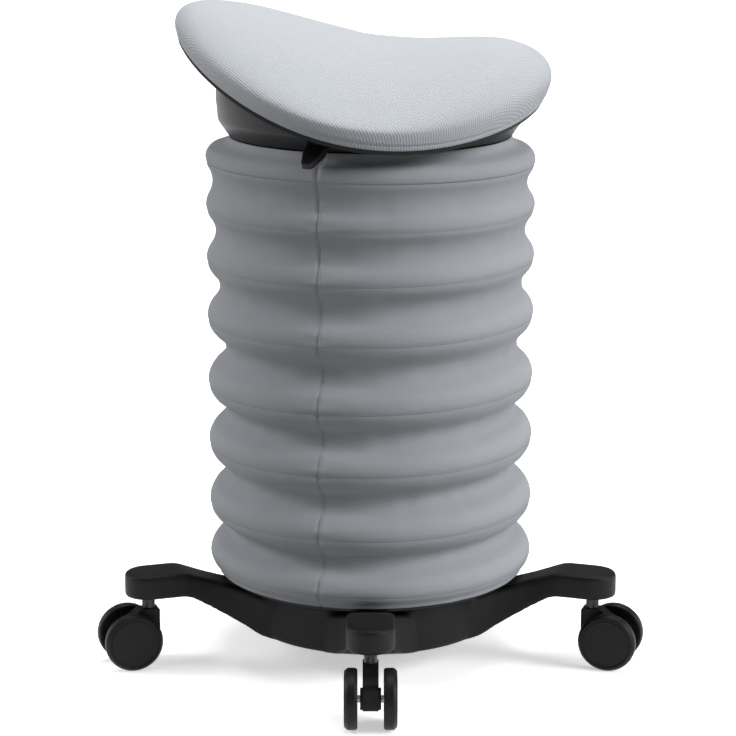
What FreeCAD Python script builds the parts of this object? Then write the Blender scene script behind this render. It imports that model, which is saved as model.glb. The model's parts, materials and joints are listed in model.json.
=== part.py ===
import FreeCAD, Part
import math
import os

Vector = FreeCAD.Vector
ORIGIN = Vector(0, 0, 0)
ACROSS = Vector(0, 1, 0)
UP = Vector(0, 0, 1)

# Wobble stool. A saddle seat stands on a gas lift, and the gas lift on a sprung wobble foot in a five-arm
# castor base. A fabric sleeve over hoops covers the column.
# Millimetres and degrees. The floor is z = 0, the column's axis is x = y = 0, the seat's front looks to +X.

# Overall sizes
ARM_COUNT = 5
FIRST_ARM_ANGLE = -90.0
STEM_CIRCLE_R = 202.0
BOWL_FLOOR_Z = 454.0
SEAT_LENGTH = 312.0
SEAT_WIDTH = 310.0
SEAT_SLOPE = 10.2
SEAT_SET_BACK = 8.0
SEAT_RISE = 59.0

# Travel of the seat and the lever
SEAT_DOWN = 70.0
SEAT_UP = 40.0
LEVER_LIFT = 5.0

# Clearances
RUNNING_GAP = 0.06
FIXED_GAP = 0.02
SOFT_GAP = 0.3
FOAM_GAP = 1.3
TURN_GAP = 1.0
STOP_GAP = 4.0

# Castor
WHEEL_R = 25.0
WHEEL_TRAIL = 16.8
CASTOR_TURNS = (0.0, 0.0, 126.0, -126.0, 0.0)
WHEEL_INNER_FACE = 10.65
WHEEL_WIDTH = 11.0
WHEEL_HUB_R = 7.0
WHEEL_END_WALL = 2.8
WHEEL_RECESS = 4.0
AXLE_R = 3.0
CASTOR_BODY_HALF_WIDTH = 6.5
CASTOR_BOSS_HALF_WIDTH = 8.5
CASTOR_BOSS_R = 9.0
CASTOR_BODY_TOP_Z = 50.0
CASTOR_FORK_R = 8.5
STEM_R = 5.5
STEM_PIVOT_R = 3.5
STEM_PIVOT_DEPTH = 18.0

# Star base
BASE_UNDERSIDE_Z = 22.0
HUB_R = 110.0
HUB_WALL = 9.0
HUB_FLOOR = 6.0
HUB_EDGE_ROUND = 4.0
HUB_TOP_Z = 64.0
ARM_ROOT_TOP_Z = 60.0
ARM_ROOT_UNDERSIDE_Z = 24.0
PAD_TOP_Z = 83.0
PAD_UNDERSIDE_Z = 62.0
PAD_HALF_WIDTH = 20.0
PAD_LENGTH = 28.0
ARM_NECK_HALF_WIDTH = 16.0
ARM_ROOT_HALF_WIDTH = 40.0
ARM_ROOT_BITE = 8.5
ARM_EDGE_ROUND = 3.0
ARM_WALL = 4.5
ARM_RIB = 3.0
SOCKET_ROOF = 4.0

# Wobble foot
FOOT_PLATE_Z = 40.0
FOOT_PLATE_R = 78.0
FOOT_PLATE_THICKNESS = 6.0
FOOT_BOLT_COUNT = 4
FOOT_BOLT_CIRCLE_R = 68.0
FOOT_BOLT_R = 4.0
FOOT_BOLT_HEAD_R = 6.5
FOOT_BOLT_HEAD = 5.3
FOOT_BOLT_BITE = 13.0
FOOT_BOSS_R = 10.0
RIB_RING_R = 44.0
RIB_RING_WIDTH = 7.0
PIVOT_Z = 78.0
EAR_INNER_FACE = 22.0
EAR_THICKNESS = 8.0
EAR_R = 13.0
CROSS_HALF = 12.0
JOURNAL_R = 6.0
BUSH_WALL = 2.0
COLUMN_FLANGE_Z = 104.0
COLUMN_FLANGE_R = 58.0
COLUMN_FLANGE_THICKNESS = 8.0
TUBE_SOCKET_WALL = 8.0
TUBE_SOCKET_TOP_Z = 172.0
SPRING_MEAN_R = 50.0
SPRING_WIRE_R = 4.5
SPRING_TURNS = 4

# Gas lift
TUBE_R = 25.0
TUBE_WALL = 2.0
TUBE_FOOT_Z = 116.0
TUBE_FLOOR_Z = 122.0
TUBE_FLOOR = 5.0
BEARING_R = 13.0
BEARING_RACE = 1.5
BEARING_BALL_R = 2.0
BEARING_BALL_COUNT = 10
BEARING_BALL_CIRCLE_R = 9.0
ROD_R = 5.0
ROD_PIN_R = 4.0
ROD_COLLAR_R = 11.0
ROD_COLLAR = 4.0
CLIP_R = 8.0
CLIP_THICKNESS = 1.5
PISTON_HEIGHT = 12.0
CYLINDER_R = 14.0
CYLINDER_WALL = 2.0
CYLINDER_CAP = 12.0
CYLINDER_TAPER_END_R = 13.1
CYLINDER_TOP_RISE = 18.0
BUSH_GUIDE_LENGTH = 60.0
BUSH_RIM = 4.0
GUIDE_HELD_AT_TOP = 94.0
VALVE_PIN_R = 3.0
VALVE_PIN_RISE = 6.0
VALVE_PIN_DEPTH = 9.0

# Seat mechanism
SOCKET_R = 20.0
SOCKET_FLANGE_R = 32.0
SOCKET_FLANGE_THICKNESS = 4.0
SOCKET_DROP = 10.0
PLATE_W = -22.0
PLATE_THICKNESS = 3.0
PLATE_HALF_LENGTH = 70.0
PLATE_HALF_WIDTH = 58.0
PLATE_SET_FORWARD = 12.0
WEB_INNER_FACE = 13.0
WEB_THICKNESS = 4.0
WEB_REACH_IN = 30.0
WEB_REACH_OUT = 34.0
SEAT_BOLT_HALF_LENGTH = 55.0
SEAT_BOLT_HALF_WIDTH = 45.0
SEAT_BOLT_R = 3.0
SEAT_BOLT_HEAD_R = 5.5
SEAT_BOLT_HEAD = 4.0
SEAT_BOSS_R = 8.0
SEAT_BOLT_BITE = 9.0

# Lever
LEVER_ANGLE = -109.3
LEVER_PIVOT_R = 24.0
LEVER_THICKNESS = 5.0
LEVER_HALF_WIDTH = 7.0
LEVER_BOSS_R = 6.0
LEVER_PIN_R = 3.0
LEVER_BEND_R = 118.0
LEVER_BEND_DROP = 13.0
LEVER_END_R = 146.0
LEVER_END_DROP = 28.0
HANDLE_START_R = 134.0
HANDLE_TIP_R = 160.0
HANDLE_WALL = 2.0
HANDLE_HALF_WIDTH = 9.5
HANDLE_TIP_HALF_WIDTH = 5.0
SLOT_HALF_WIDTH = 10.0
SLOT_SILL = 0.5
SLOT_CLEARANCE = 5.0

# Bowl and seat
BOWL_FLOOR = 3.0
BOWL_WALL = 3.0
BOWL_R = 131.5
BOWL_FOOT_R = 121.0
BOWL_HOLE_R = 26.0
BOWL_SCREW_COUNT = 4
BOWL_SCREW_CIRCLE_R = 96.0
BOWL_SCREW_R = 2.0
BOWL_SCREW_HEAD_R = 4.0
BOWL_SCREW_HEAD = 2.5
BOWL_BOSS_R = 6.0
BOWL_BOSS_RISE = 16.0
BOWL_SCREW_BITE = 10.0
SKIRT_R = 111.5
SKIRT_WALL = 3.5
SKIRT_DROP = 13.0
SKIRT_BEAD = 3.0
SKIRT_BEAD_HEIGHT = 2.0
SHELL_THICKNESS = 4.5
SADDLE_MIDDLE_R = 215.0
SADDLE_MIDDLE_HALF = 60.0
SADDLE_FLAP_R = 420.0
SADDLE_FLAP_REACH = 175.0
CUSHION_MIDDLE_HEIGHT = 27.0
CUSHION_BACK_RISE = 3.0
CUSHION_FRONT_RISE = 16.0
CUSHION_CROWN_REACH = 120.0
CUSHION_BACK_EDGE = 27.0
CUSHION_FRONT_EDGE = 40.0
CUSHION_EDGE_INSET = 19.0
CUSHION_BULGE = 4.0
CUSHION_BULGE_SHARE = 0.45
CUSHION_UNDERCUT = 12.0
CUSHION_STATIONS = (0, 0.2, 0.42, 0.64, 0.81, 0.91, 0.965, 0.993)
COVER_THICKNESS = 1.5

# Sleeve
HOOP_R = 137.5
HOOP_WIRE_R = 2.0
LOWEST_HOOP_Z = 86.0
HOOP_GAPS_UPWARD = (49.0, 55.0, 53.0, 56.5, 50.0, 44.5, 40.0)
TOP_HOOP_DROP = 20.0
FABRIC = 1.3
FOLD_DEPTHS_UPWARD = (17.0, 17.0, 16.0, 14.0, 11.0, 8.5, 6.0)
CREST_SHARES_UPWARD = (0.68, 0.68, 0.65, 0.6, 0.55, 0.45, 0.45)
NECK_R = 121.0
NECK_HEIGHT = 1.0
NECK_CREST_SHARE = 0.6
HEM_R = 134.0
HEM_Z = 72.0
HEM_HEIGHT = 3.0
HEM_CREST_SHARE = 0.6
DISH_INNER_R = 90.0
DISH_THICKNESS = 3.0
DISH_RIM_HEIGHT = 8.0
DISH_SCREW_R = 1.9
DISH_SCREW_HEAD_R = 3.6
DISH_SCREW_HEAD = 2.0
DISH_SCREW_BITE = 10.0

# Values worked out from the sizes above
SEAT_ORIGIN = Vector(-SEAT_SET_BACK, 0, BOWL_FLOOR_Z + SEAT_RISE)
SOCKET_BASE_Z = BOWL_FLOOR_Z - SOCKET_DROP
TUBE_TOP_Z = SOCKET_BASE_Z - SEAT_DOWN - BUSH_RIM - STOP_GAP
CYLINDER_TOP_Z = BOWL_FLOOR_Z + CYLINDER_TOP_RISE
CYLINDER_BASE_Z = TUBE_TOP_Z - GUIDE_HELD_AT_TOP - SEAT_UP
PISTON_Z = CYLINDER_BASE_Z + SEAT_UP + CYLINDER_CAP + 2 * TURN_GAP
BEARING_Z = TUBE_FLOOR_Z + TUBE_FLOOR
ROD_COLLAR_Z = BEARING_Z + 2 * BEARING_RACE + 2 * BEARING_BALL_R + RUNNING_GAP
CYLINDER_BORE_R = CYLINDER_R - CYLINDER_WALL
SOCKET_TOP_Z = CYLINDER_TOP_Z
LEVER_BASE_Z = CYLINDER_TOP_Z + VALVE_PIN_RISE + SOFT_GAP
LEVER_PIVOT_Z = LEVER_BASE_Z + LEVER_THICKNESS / 2
NECK_TOP_Z = BOWL_FLOOR_Z - TURN_GAP
HOOP_SPAN = NECK_TOP_Z - TOP_HOOP_DROP + TURN_GAP - LOWEST_HOOP_Z


# Shape helpers

def rounded_wire(corners, place):
    """Closed wire through (x, y, round) corners, with an arc at each corner that has a round."""
    turns = []
    for i, (x, y, radius) in enumerate(corners):
        corner = Vector(x, y, 0)
        back = Vector(*corners[i - 1][:2], 0) - corner
        ahead = Vector(*corners[(i + 1) % len(corners)][:2], 0) - corner
        back.normalize()
        ahead.normalize()
        if radius == 0:
            turns.append((corner, None, corner))
            continue
        half = back.getAngle(ahead) / 2
        run = radius / math.tan(half)
        inward = back + ahead
        inward.normalize()
        middle = corner + inward * (radius / math.sin(half) - radius)
        turns.append((corner + back * run, middle, corner + ahead * run))
    edges = []
    for i, (start, middle, end) in enumerate(turns):
        if middle is not None:
            arc = Part.Arc(place(start.x, start.y), place(middle.x, middle.y), place(end.x, end.y))
            edges.append(arc.toShape())
        after = turns[(i + 1) % len(turns)][0]
        if (after - end).Length > 1e-6:
            edges.append(Part.LineSegment(place(end.x, end.y), place(after.x, after.y)).toShape())
    return Part.Wire(edges)


def upright(x, z):
    """A point of a side view, which lies in the XZ plane."""
    return Vector(x, 0, z)


def turned(corners):
    """Solid turned about the column's axis from (radius, z, round) corners."""
    return Part.Face(rounded_wire(corners, upright)).revolve(ORIGIN, UP, 360)


def ring(inner, outer, low, high):
    """Plain ring about the column's axis."""
    return turned([(inner, low, 0), (outer, low, 0), (outer, high, 0), (inner, high, 0)])


def post(x, y, low, high, radius):
    """Upright cylinder."""
    return Part.makeCylinder(radius, high - low, Vector(x, y, low), UP)


def bar_across(radius, half_length, x, z):
    """Cylinder along Y, centred on y = 0."""
    return Part.makeCylinder(radius, 2 * half_length, Vector(x, -half_length, z), ACROSS)


def block(x0, x1, y0, y1, z0, z1):
    """Box between two corners."""
    return Part.makeBox(x1 - x0, y1 - y0, z1 - z0, Vector(x0, y0, z0))


def slab(corners, half_width):
    """Side view of (x, z, round) corners, made thick along Y."""
    face = Part.Face(rounded_wire(corners, lambda x, z: Vector(x, -half_width, z)))
    return face.extrude(Vector(0, 2 * half_width, 0))


def plan(corners, low, high):
    """Plan view of (x, y, round) corners, made tall along Z."""
    face = Part.Face(rounded_wire(corners, lambda x, y: Vector(x, y, low)))
    return face.extrude(Vector(0, 0, high - low))


def both_sides(corners):
    """Plan corners of one side, followed by their mirror image in the X axis."""
    return corners + [(x, -y, radius) for x, y, radius in reversed(corners)]


def spun(shape, angle):
    """Copy of a shape, turned about the column's axis."""
    copy = shape.copy()
    copy.rotate(ORIGIN, UP, angle)
    return copy


def on_circle(radius, count, first_angle):
    """Points (x, y) evenly spaced on a circle about the column's axis."""
    angles = [math.radians(first_angle + i * 360.0 / count) for i in range(count)]
    return [(radius * math.cos(a), radius * math.sin(a)) for a in angles]


def joined(shapes):
    """One solid from shapes that meet."""
    whole = shapes[0].multiFuse(shapes[1:]).removeSplitter()
    return whole.Solids[0] if len(whole.Solids) == 1 else whole


def group(shapes):
    """Several separate solids in one node."""
    return Part.makeCompound([solid for shape in shapes for solid in shape.Solids])


def seat_placed(shape):
    """Moves a shape from the seat's own frame (u forward, v across, w up) to the stool's frame."""
    copy = shape.copy()
    copy.rotate(ORIGIN, ACROSS, SEAT_SLOPE)
    copy.translate(SEAT_ORIGIN)
    return copy


# Star base and castors

def arm_outline(inset):
    """Plan corners of an arm along +X, drawn in by an inset."""
    pad_r = STEM_CIRCLE_R - PAD_LENGTH
    tip = PAD_HALF_WIDTH - inset
    return both_sides([
        (HUB_R - ARM_ROOT_BITE, ARM_ROOT_HALF_WIDTH - inset, 0),
        (HUB_R + 14, ARM_NECK_HALF_WIDTH + 3 - inset, 30),
        ((HUB_R + pad_r) / 2 + 8, ARM_NECK_HALF_WIDTH - inset, 60),
        (pad_r, tip, 40),
        (STEM_CIRCLE_R + tip, tip, tip),
    ])


def arm():
    """One arm along +X, with its pockets open below."""
    pad_r = STEM_CIRCLE_R - PAD_LENGTH
    tip_r = STEM_CIRCLE_R + PAD_HALF_WIDTH
    root_r = HUB_R - ARM_ROOT_BITE
    top_slope = (PAD_TOP_Z - ARM_ROOT_TOP_Z) / (pad_r - HUB_R)
    side = slab([
        (root_r, ARM_ROOT_TOP_Z - top_slope * ARM_ROOT_BITE, 0),
        (pad_r, PAD_TOP_Z, 30),
        (tip_r + 1, PAD_TOP_Z, 0),
        (tip_r + 1, PAD_UNDERSIDE_Z, 0),
        (pad_r - 4, PAD_UNDERSIDE_Z, 25),
        (HUB_R, ARM_ROOT_UNDERSIDE_Z, 12),
        (root_r, BASE_UNDERSIDE_Z, 0),
    ], ARM_ROOT_HALF_WIDTH + 1)
    whole = side.common(plan(arm_outline(0), 0, PAD_TOP_Z + 10))
    rounded = [edge for edge in whole.Edges if is_arm_rim(edge, pad_r, top_slope)]
    whole = whole.makeFillet(ARM_EDGE_ROUND, rounded)
    pocket = slab([
        (HUB_R + ARM_WALL, 0, 0),
        (HUB_R + ARM_WALL, ARM_ROOT_TOP_Z - ARM_WALL, 0),
        (pad_r, PAD_TOP_Z - ARM_WALL - 1, 30),
        (STEM_CIRCLE_R - STEM_R - ARM_WALL, PAD_TOP_Z - ARM_WALL - 1, 0),
        (STEM_CIRCLE_R - STEM_R - ARM_WALL, 0, 0),
    ], ARM_ROOT_HALF_WIDTH).common(plan(arm_outline(ARM_WALL), -1, PAD_TOP_Z))
    for share in (1 / 3, 2 / 3):
        rib_x = HUB_R + share * (STEM_CIRCLE_R - HUB_R)
        pocket = pocket.cut(block(rib_x, rib_x + ARM_RIB, -50, 50, -1, PAD_TOP_Z))
    socket = post(STEM_CIRCLE_R, 0, 0, PAD_TOP_Z - SOCKET_ROOF, STEM_R + FIXED_GAP)
    return whole.cut(pocket).cut(socket)


def is_arm_rim(edge, pad_r, top_slope):
    """True for an edge between an arm's top and its side walls, outside the hub."""
    middle = edge.valueAt((edge.FirstParameter + edge.LastParameter) / 2)
    if abs(middle.y) < 1:
        return abs(middle.z - PAD_TOP_Z) < 1e-3
    top = min(PAD_TOP_Z, PAD_TOP_Z - top_slope * (pad_r - middle.x))
    along_walls = abs(edge.BoundBox.ZLength) > 0.9 * edge.Length
    return middle.z > top - 3 and middle.x > HUB_R - ARM_ROOT_BITE + 1 and not along_walls


def star_base():
    """Hub and five arms in one moulding."""
    inner = HUB_R - HUB_WALL
    floor_z = BASE_UNDERSIDE_Z + HUB_FLOOR
    cup = turned([
        (0, BASE_UNDERSIDE_Z, 0),
        (HUB_R, BASE_UNDERSIDE_Z, HUB_EDGE_ROUND),
        (HUB_R, HUB_TOP_Z, 1.5),
        (inner, HUB_TOP_Z, 1),
        (inner, floor_z, 5),
        (0, floor_z, 0),
    ])
    step = 360.0 / ARM_COUNT
    arms = [spun(arm(), FIRST_ARM_ANGLE + i * step) for i in range(ARM_COUNT)]
    bosses = [post(x, y, floor_z - 1, FOOT_PLATE_Z, FOOT_BOSS_R) for x, y in foot_bolt_places()]
    rib_ring = ring(RIB_RING_R - RIB_RING_WIDTH / 2, RIB_RING_R + RIB_RING_WIDTH / 2, floor_z - 1, FOOT_PLATE_Z)
    base = joined([cup] + arms + bosses + [rib_ring])
    for x, y in foot_bolt_places():
        base = base.cut(post(x, y, FOOT_PLATE_Z - FOOT_BOLT_BITE, FOOT_PLATE_Z + 1, FOOT_BOLT_R + FIXED_GAP))
    for x, y in dish_screw_places():
        base = base.cut(post(x, y, HUB_TOP_Z - DISH_SCREW_BITE - 1, HUB_TOP_Z + 1, DISH_SCREW_R + FIXED_GAP))
    return base


def castor_placed(shape, index):
    """Moves a shape from a castor's own frame (stem at the origin, wheels towards +X) under its arm."""
    copy = spun(shape, CASTOR_TURNS[index])
    copy.translate(Vector(STEM_CIRCLE_R, 0, 0))
    return spun(copy, FIRST_ARM_ANGLE + index * 360.0 / ARM_COUNT)


def castor_stem():
    """Steel stem: thick in the arm's socket, thin in the castor's body."""
    top = PAD_TOP_Z - SOCKET_ROOF - SOFT_GAP
    shoulder = CASTOR_BODY_TOP_Z + SOFT_GAP
    return turned([
        (0, shoulder - STEM_PIVOT_DEPTH, 0),
        (STEM_PIVOT_R, shoulder - STEM_PIVOT_DEPTH, 0.8),
        (STEM_PIVOT_R, shoulder, 0),
        (STEM_R, shoulder, 0.5),
        (STEM_R, top, 1.5),
        (0, top, 0),
    ])


def castor_body():
    """Body between the two wheels, with the stem's boss and the axle's boss."""
    cheek = slab([
        (-CASTOR_FORK_R, CASTOR_BODY_TOP_Z, 1.5),
        (CASTOR_FORK_R, CASTOR_BODY_TOP_Z, 3),
        (WHEEL_TRAIL + CASTOR_BOSS_R, WHEEL_R + 13, 8),
        (WHEEL_TRAIL + CASTOR_BOSS_R, WHEEL_R - CASTOR_BOSS_R, 8),
        (WHEEL_TRAIL - CASTOR_BOSS_R, WHEEL_R - CASTOR_BOSS_R - 2, 6),
        (-CASTOR_FORK_R, WHEEL_R + 4, 6),
    ], CASTOR_BODY_HALF_WIDTH)
    axle_boss = bar_across(CASTOR_BOSS_R, CASTOR_BOSS_HALF_WIDTH, WHEEL_TRAIL, WHEEL_R)
    body = joined([cheek, axle_boss])
    pivot_low = CASTOR_BODY_TOP_Z + SOFT_GAP - STEM_PIVOT_DEPTH - SOFT_GAP
    body = body.cut(post(0, 0, pivot_low, CASTOR_BODY_TOP_Z + 1, STEM_PIVOT_R + RUNNING_GAP))
    return body.cut(bar_across(AXLE_R + FIXED_GAP, CASTOR_BOSS_HALF_WIDTH + 1, WHEEL_TRAIL, WHEEL_R))


def castor_axle():
    """Steel axle that carries both wheels."""
    half = WHEEL_INNER_FACE + WHEEL_WIDTH - WHEEL_END_WALL - SOFT_GAP
    return bar_across(AXLE_R, half, WHEEL_TRAIL, WHEEL_R)


def castor_wheel(side):
    """One wheel with a plain rounded outer face and a blind bore. Side is 1 or -1."""
    outer = WHEEL_INNER_FACE + WHEEL_WIDTH
    bore = AXLE_R + RUNNING_GAP
    hub_face = CASTOR_BOSS_HALF_WIDTH + SOFT_GAP
    recess_r = WHEEL_R - 4
    corners = [
        (0, outer, 0),
        (0, outer - WHEEL_END_WALL, 0),
        (bore, outer - WHEEL_END_WALL, 0),
        (bore, hub_face, 0),
        (WHEEL_HUB_R, hub_face, 0.5),
        (WHEEL_HUB_R, WHEEL_INNER_FACE + WHEEL_RECESS, 0.8),
        (recess_r, WHEEL_INNER_FACE + WHEEL_RECESS, 1.5),
        (recess_r, WHEEL_INNER_FACE, 0.5),
        (WHEEL_R, WHEEL_INNER_FACE, 2.5),
        (WHEEL_R, outer, 3.5),
    ]
    face = Part.Face(rounded_wire(corners, lambda r, y: Vector(WHEEL_TRAIL + r, side * y, WHEEL_R)))
    return face.revolve(Vector(WHEEL_TRAIL, 0, WHEEL_R), ACROSS, 360)


# Wobble foot

def foot_bolt_places():
    """Places (x, y) of the bolts through the foot plate."""
    return on_circle(FOOT_BOLT_CIRCLE_R, FOOT_BOLT_COUNT, 45)


def foot_yoke():
    """Steel plate on the hub, with two ears across Y that hold the cross."""
    plate = post(0, 0, FOOT_PLATE_Z, FOOT_PLATE_Z + FOOT_PLATE_THICKNESS, FOOT_PLATE_R)
    ears = yoke_ears(FOOT_PLATE_Z + 1)
    yoke = joined([plate] + ears)
    yoke = yoke.cut(bar_across(JOURNAL_R + BUSH_WALL, EAR_INNER_FACE + EAR_THICKNESS + 1, 0, PIVOT_Z))
    for x, y in foot_bolt_places():
        yoke = yoke.cut(post(x, y, 0, PIVOT_Z, FOOT_BOLT_R + SOFT_GAP))
    return yoke


def yoke_ears(far_z):
    """Pair of ears across Y, from a plate at far_z to a rounded end about the pivot."""
    ears = []
    for side in (1, -1):
        inner = side * EAR_INNER_FACE
        outer = side * (EAR_INNER_FACE + EAR_THICKNESS)
        eye = Part.makeCylinder(EAR_R, EAR_THICKNESS, Vector(0, min(inner, outer), PIVOT_Z), ACROSS)
        z0, z1 = sorted((far_z, PIVOT_Z))
        ears.append(eye)
        ears.append(block(-EAR_R, EAR_R, min(inner, outer), max(inner, outer), z0, z1))
    return ears


def ear_bushes():
    """Pair of bronze bushes in ears across Y."""
    bushes = []
    for side in (1, -1):
        low = min(side * EAR_INNER_FACE, side * (EAR_INNER_FACE + EAR_THICKNESS))
        outside = Part.makeCylinder(JOURNAL_R + BUSH_WALL, EAR_THICKNESS, Vector(0, low, PIVOT_Z), ACROSS)
        bushes.append(outside.cut(bar_across(JOURNAL_R + RUNNING_GAP, 2 * EAR_INNER_FACE, 0, PIVOT_Z)))
    return group(bushes)


def yoke_cross():
    """Cross with one pair of journals in each yoke."""
    reach = EAR_INNER_FACE + EAR_THICKNESS
    middle = block(-CROSS_HALF, CROSS_HALF, -CROSS_HALF, CROSS_HALF, PIVOT_Z - CROSS_HALF, PIVOT_Z + CROSS_HALF)
    middle = middle.makeChamfer(2, middle.Edges)
    journal = bar_across(JOURNAL_R, reach, 0, PIVOT_Z)
    return joined([middle, journal, spun(journal, 90)])


def foot_bolts():
    """Hexagon bolts through the foot plate into the hub's bosses."""
    plate_top = FOOT_PLATE_Z + FOOT_PLATE_THICKNESS
    bolts = []
    for x, y in foot_bolt_places():
        shank = post(x, y, FOOT_PLATE_Z - FOOT_BOLT_BITE + 1, plate_top + 1, FOOT_BOLT_R)
        hexagon = [Vector(x + FOOT_BOLT_HEAD_R * math.cos(math.radians(60 * k)),
                          y + FOOT_BOLT_HEAD_R * math.sin(math.radians(60 * k)), plate_top) for k in range(6)]
        head = Part.Face(Part.makePolygon(hexagon + hexagon[:1])).extrude(Vector(0, 0, FOOT_BOLT_HEAD))
        bolts.append(joined([shank, head]))
    return group(bolts)


def column_foot():
    """Upper yoke, spring flange and socket of the gas lift's tube."""
    top = COLUMN_FLANGE_Z + COLUMN_FLANGE_THICKNESS
    socket_r = TUBE_R + TUBE_SOCKET_WALL
    body = turned([
        (0, COLUMN_FLANGE_Z, 0),
        (COLUMN_FLANGE_R, COLUMN_FLANGE_Z, 1),
        (COLUMN_FLANGE_R, top, 2),
        (socket_r, top, 6),
        (socket_r, TUBE_SOCKET_TOP_Z, 2),
        (0, TUBE_SOCKET_TOP_Z, 0),
    ])
    ears = [spun(ear, 90) for ear in yoke_ears(COLUMN_FLANGE_Z + 1)]
    foot = joined([body] + ears)
    eyes = spun(bar_across(JOURNAL_R + BUSH_WALL, EAR_INNER_FACE + EAR_THICKNESS + 1, 0, PIVOT_Z), 90)
    foot = foot.cut(eyes)
    foot = foot.cut(post(0, 0, TUBE_FOOT_Z, TUBE_SOCKET_TOP_Z + 1, TUBE_R + FIXED_GAP))
    return foot.cut(post(0, 0, COLUMN_FLANGE_Z - 1, TUBE_FOOT_Z + 1, CLIP_R + 4))


def biarc(start, start_way, end, end_way):
    """Two tangent arcs from a start to an end point, along the given ways there."""
    span = end - start
    a = 2 * (1 - start_way.dot(end_way))
    b = 2 * span.dot(start_way + end_way)
    reach = (math.sqrt(b * b + 4 * a * span.dot(span)) - b) / (2 * a)
    knee_1 = start + start_way * reach
    knee_2 = end - end_way * reach
    meet = (knee_1 + knee_2) * 0.5
    return [tangent_arc(start, knee_1, meet), tangent_arc(meet, knee_2, end)]


def tangent_arc(start, knee, end):
    """Arc from start to end whose tangents there meet at the knee."""
    chord_middle = (start + end) * 0.5
    weight = (end - start).Length / 2 / (knee - start).Length
    middle = (chord_middle + knee * weight) * (1 / (1 + weight))
    return Part.Arc(start, middle, end).toShape()


def helix_point(turn, radius, low, pitch):
    """Point of a helix about the column's axis, and the way it goes there."""
    angle = 2 * math.pi * turn
    point = Vector(radius * math.cos(angle), radius * math.sin(angle), low + pitch * turn)
    way = Vector(-radius * math.sin(angle), radius * math.cos(angle), pitch / (2 * math.pi))
    way.normalize()
    return point, way


def return_spring():
    """Stout coil spring round the foot's pivot. It stands the column up again."""
    low = FOOT_PLATE_Z + FOOT_PLATE_THICKNESS + SPRING_WIRE_R + SOFT_GAP
    high = COLUMN_FLANGE_Z - SPRING_WIRE_R - SOFT_GAP
    pitch = (high - low) / SPRING_TURNS
    edges = []
    quarters = [i / 4 for i in range(4 * SPRING_TURNS + 1)]
    for first, second in zip(quarters, quarters[1:]):
        start = helix_point(first, SPRING_MEAN_R, low, pitch)
        end = helix_point(second, SPRING_MEAN_R, low, pitch)
        edges += biarc(*start, *end)
    start, way = helix_point(0, SPRING_MEAN_R, low, pitch)
    section = Part.Wire([Part.makeCircle(SPRING_WIRE_R, start, way)])
    print("return spring, least gap between turns:", round(least_gap(low, pitch), 2), "mm")
    return Part.Wire(edges).makePipeShell([section], True, False)


def least_gap(low, pitch):
    """Least distance between the spring's own turns, measured on points along its wire."""
    steps = 24
    count = steps * SPRING_TURNS + 1
    points = [helix_point(i / steps, SPRING_MEAN_R, low, pitch)[0] for i in range(count)]
    far = [(p - q).Length for i, p in enumerate(points) for q in points[i + steps // 2:]]
    return min(far) - 2 * SPRING_WIRE_R


# Gas lift

def lift_tube():
    """Outer tube, which stands in the column foot."""
    inner = TUBE_R - TUBE_WALL
    pin_hole = ROD_PIN_R + RUNNING_GAP
    return turned([
        (pin_hole, TUBE_FLOOR_Z, 0),
        (inner, TUBE_FLOOR_Z, 0),
        (inner, TUBE_FOOT_Z, 0),
        (TUBE_R, TUBE_FOOT_Z, 0.8),
        (TUBE_R, TUBE_TOP_Z, 0),
        (inner, TUBE_TOP_Z, 0),
        (inner, TUBE_FLOOR_Z + TUBE_FLOOR, 0),
        (pin_hole, TUBE_FLOOR_Z + TUBE_FLOOR, 0),
    ])


def guide_bush():
    """Plastic bush that guides the gas cylinder in the tube."""
    bore = CYLINDER_R + RUNNING_GAP
    outside = TUBE_R - TUBE_WALL - FIXED_GAP
    low = TUBE_TOP_Z - BUSH_GUIDE_LENGTH
    high = TUBE_TOP_Z + BUSH_RIM
    return turned([
        (bore, low, 0),
        (outside, low, 1),
        (outside, TUBE_TOP_Z, 0),
        (TUBE_R, TUBE_TOP_Z, 0),
        (TUBE_R, high, 1.5),
        (bore, high, 0),
    ])


def thrust_bearing():
    """Two races and a ring of balls under the rod's collar."""
    ball_z = BEARING_Z + BEARING_RACE + BEARING_BALL_R
    hole = ROD_PIN_R + RUNNING_GAP
    lower = ring(hole, BEARING_R, BEARING_Z, BEARING_Z + BEARING_RACE)
    upper_z = BEARING_Z + BEARING_RACE + 2 * BEARING_BALL_R
    upper = ring(hole, BEARING_R, upper_z, upper_z + BEARING_RACE)
    places = on_circle(BEARING_BALL_CIRCLE_R, BEARING_BALL_COUNT, 0)
    balls = [Part.makeSphere(BEARING_BALL_R - FIXED_GAP, Vector(x, y, ball_z)) for x, y in places]
    return group([lower, upper] + balls)


def piston_rod():
    """Rod that turns on the bearing, with its thin end through the tube's floor."""
    clip_z = TUBE_FLOOR_Z - RUNNING_GAP - CLIP_THICKNESS
    groove_r = ROD_PIN_R - 1
    return turned([
        (0, clip_z - 2, 0),
        (ROD_PIN_R, clip_z - 2, 0.5),
        (ROD_PIN_R, clip_z, 0),
        (groove_r, clip_z, 0),
        (groove_r, clip_z + CLIP_THICKNESS, 0),
        (ROD_PIN_R, clip_z + CLIP_THICKNESS, 0),
        (ROD_PIN_R, ROD_COLLAR_Z, 0),
        (ROD_COLLAR_R, ROD_COLLAR_Z, 0.5),
        (ROD_COLLAR_R, ROD_COLLAR_Z + ROD_COLLAR, 1),
        (ROD_R, ROD_COLLAR_Z + ROD_COLLAR, 0),
        (ROD_R, PISTON_Z + PISTON_HEIGHT, 0.5),
        (0, PISTON_Z + PISTON_HEIGHT, 0),
    ])


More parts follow.
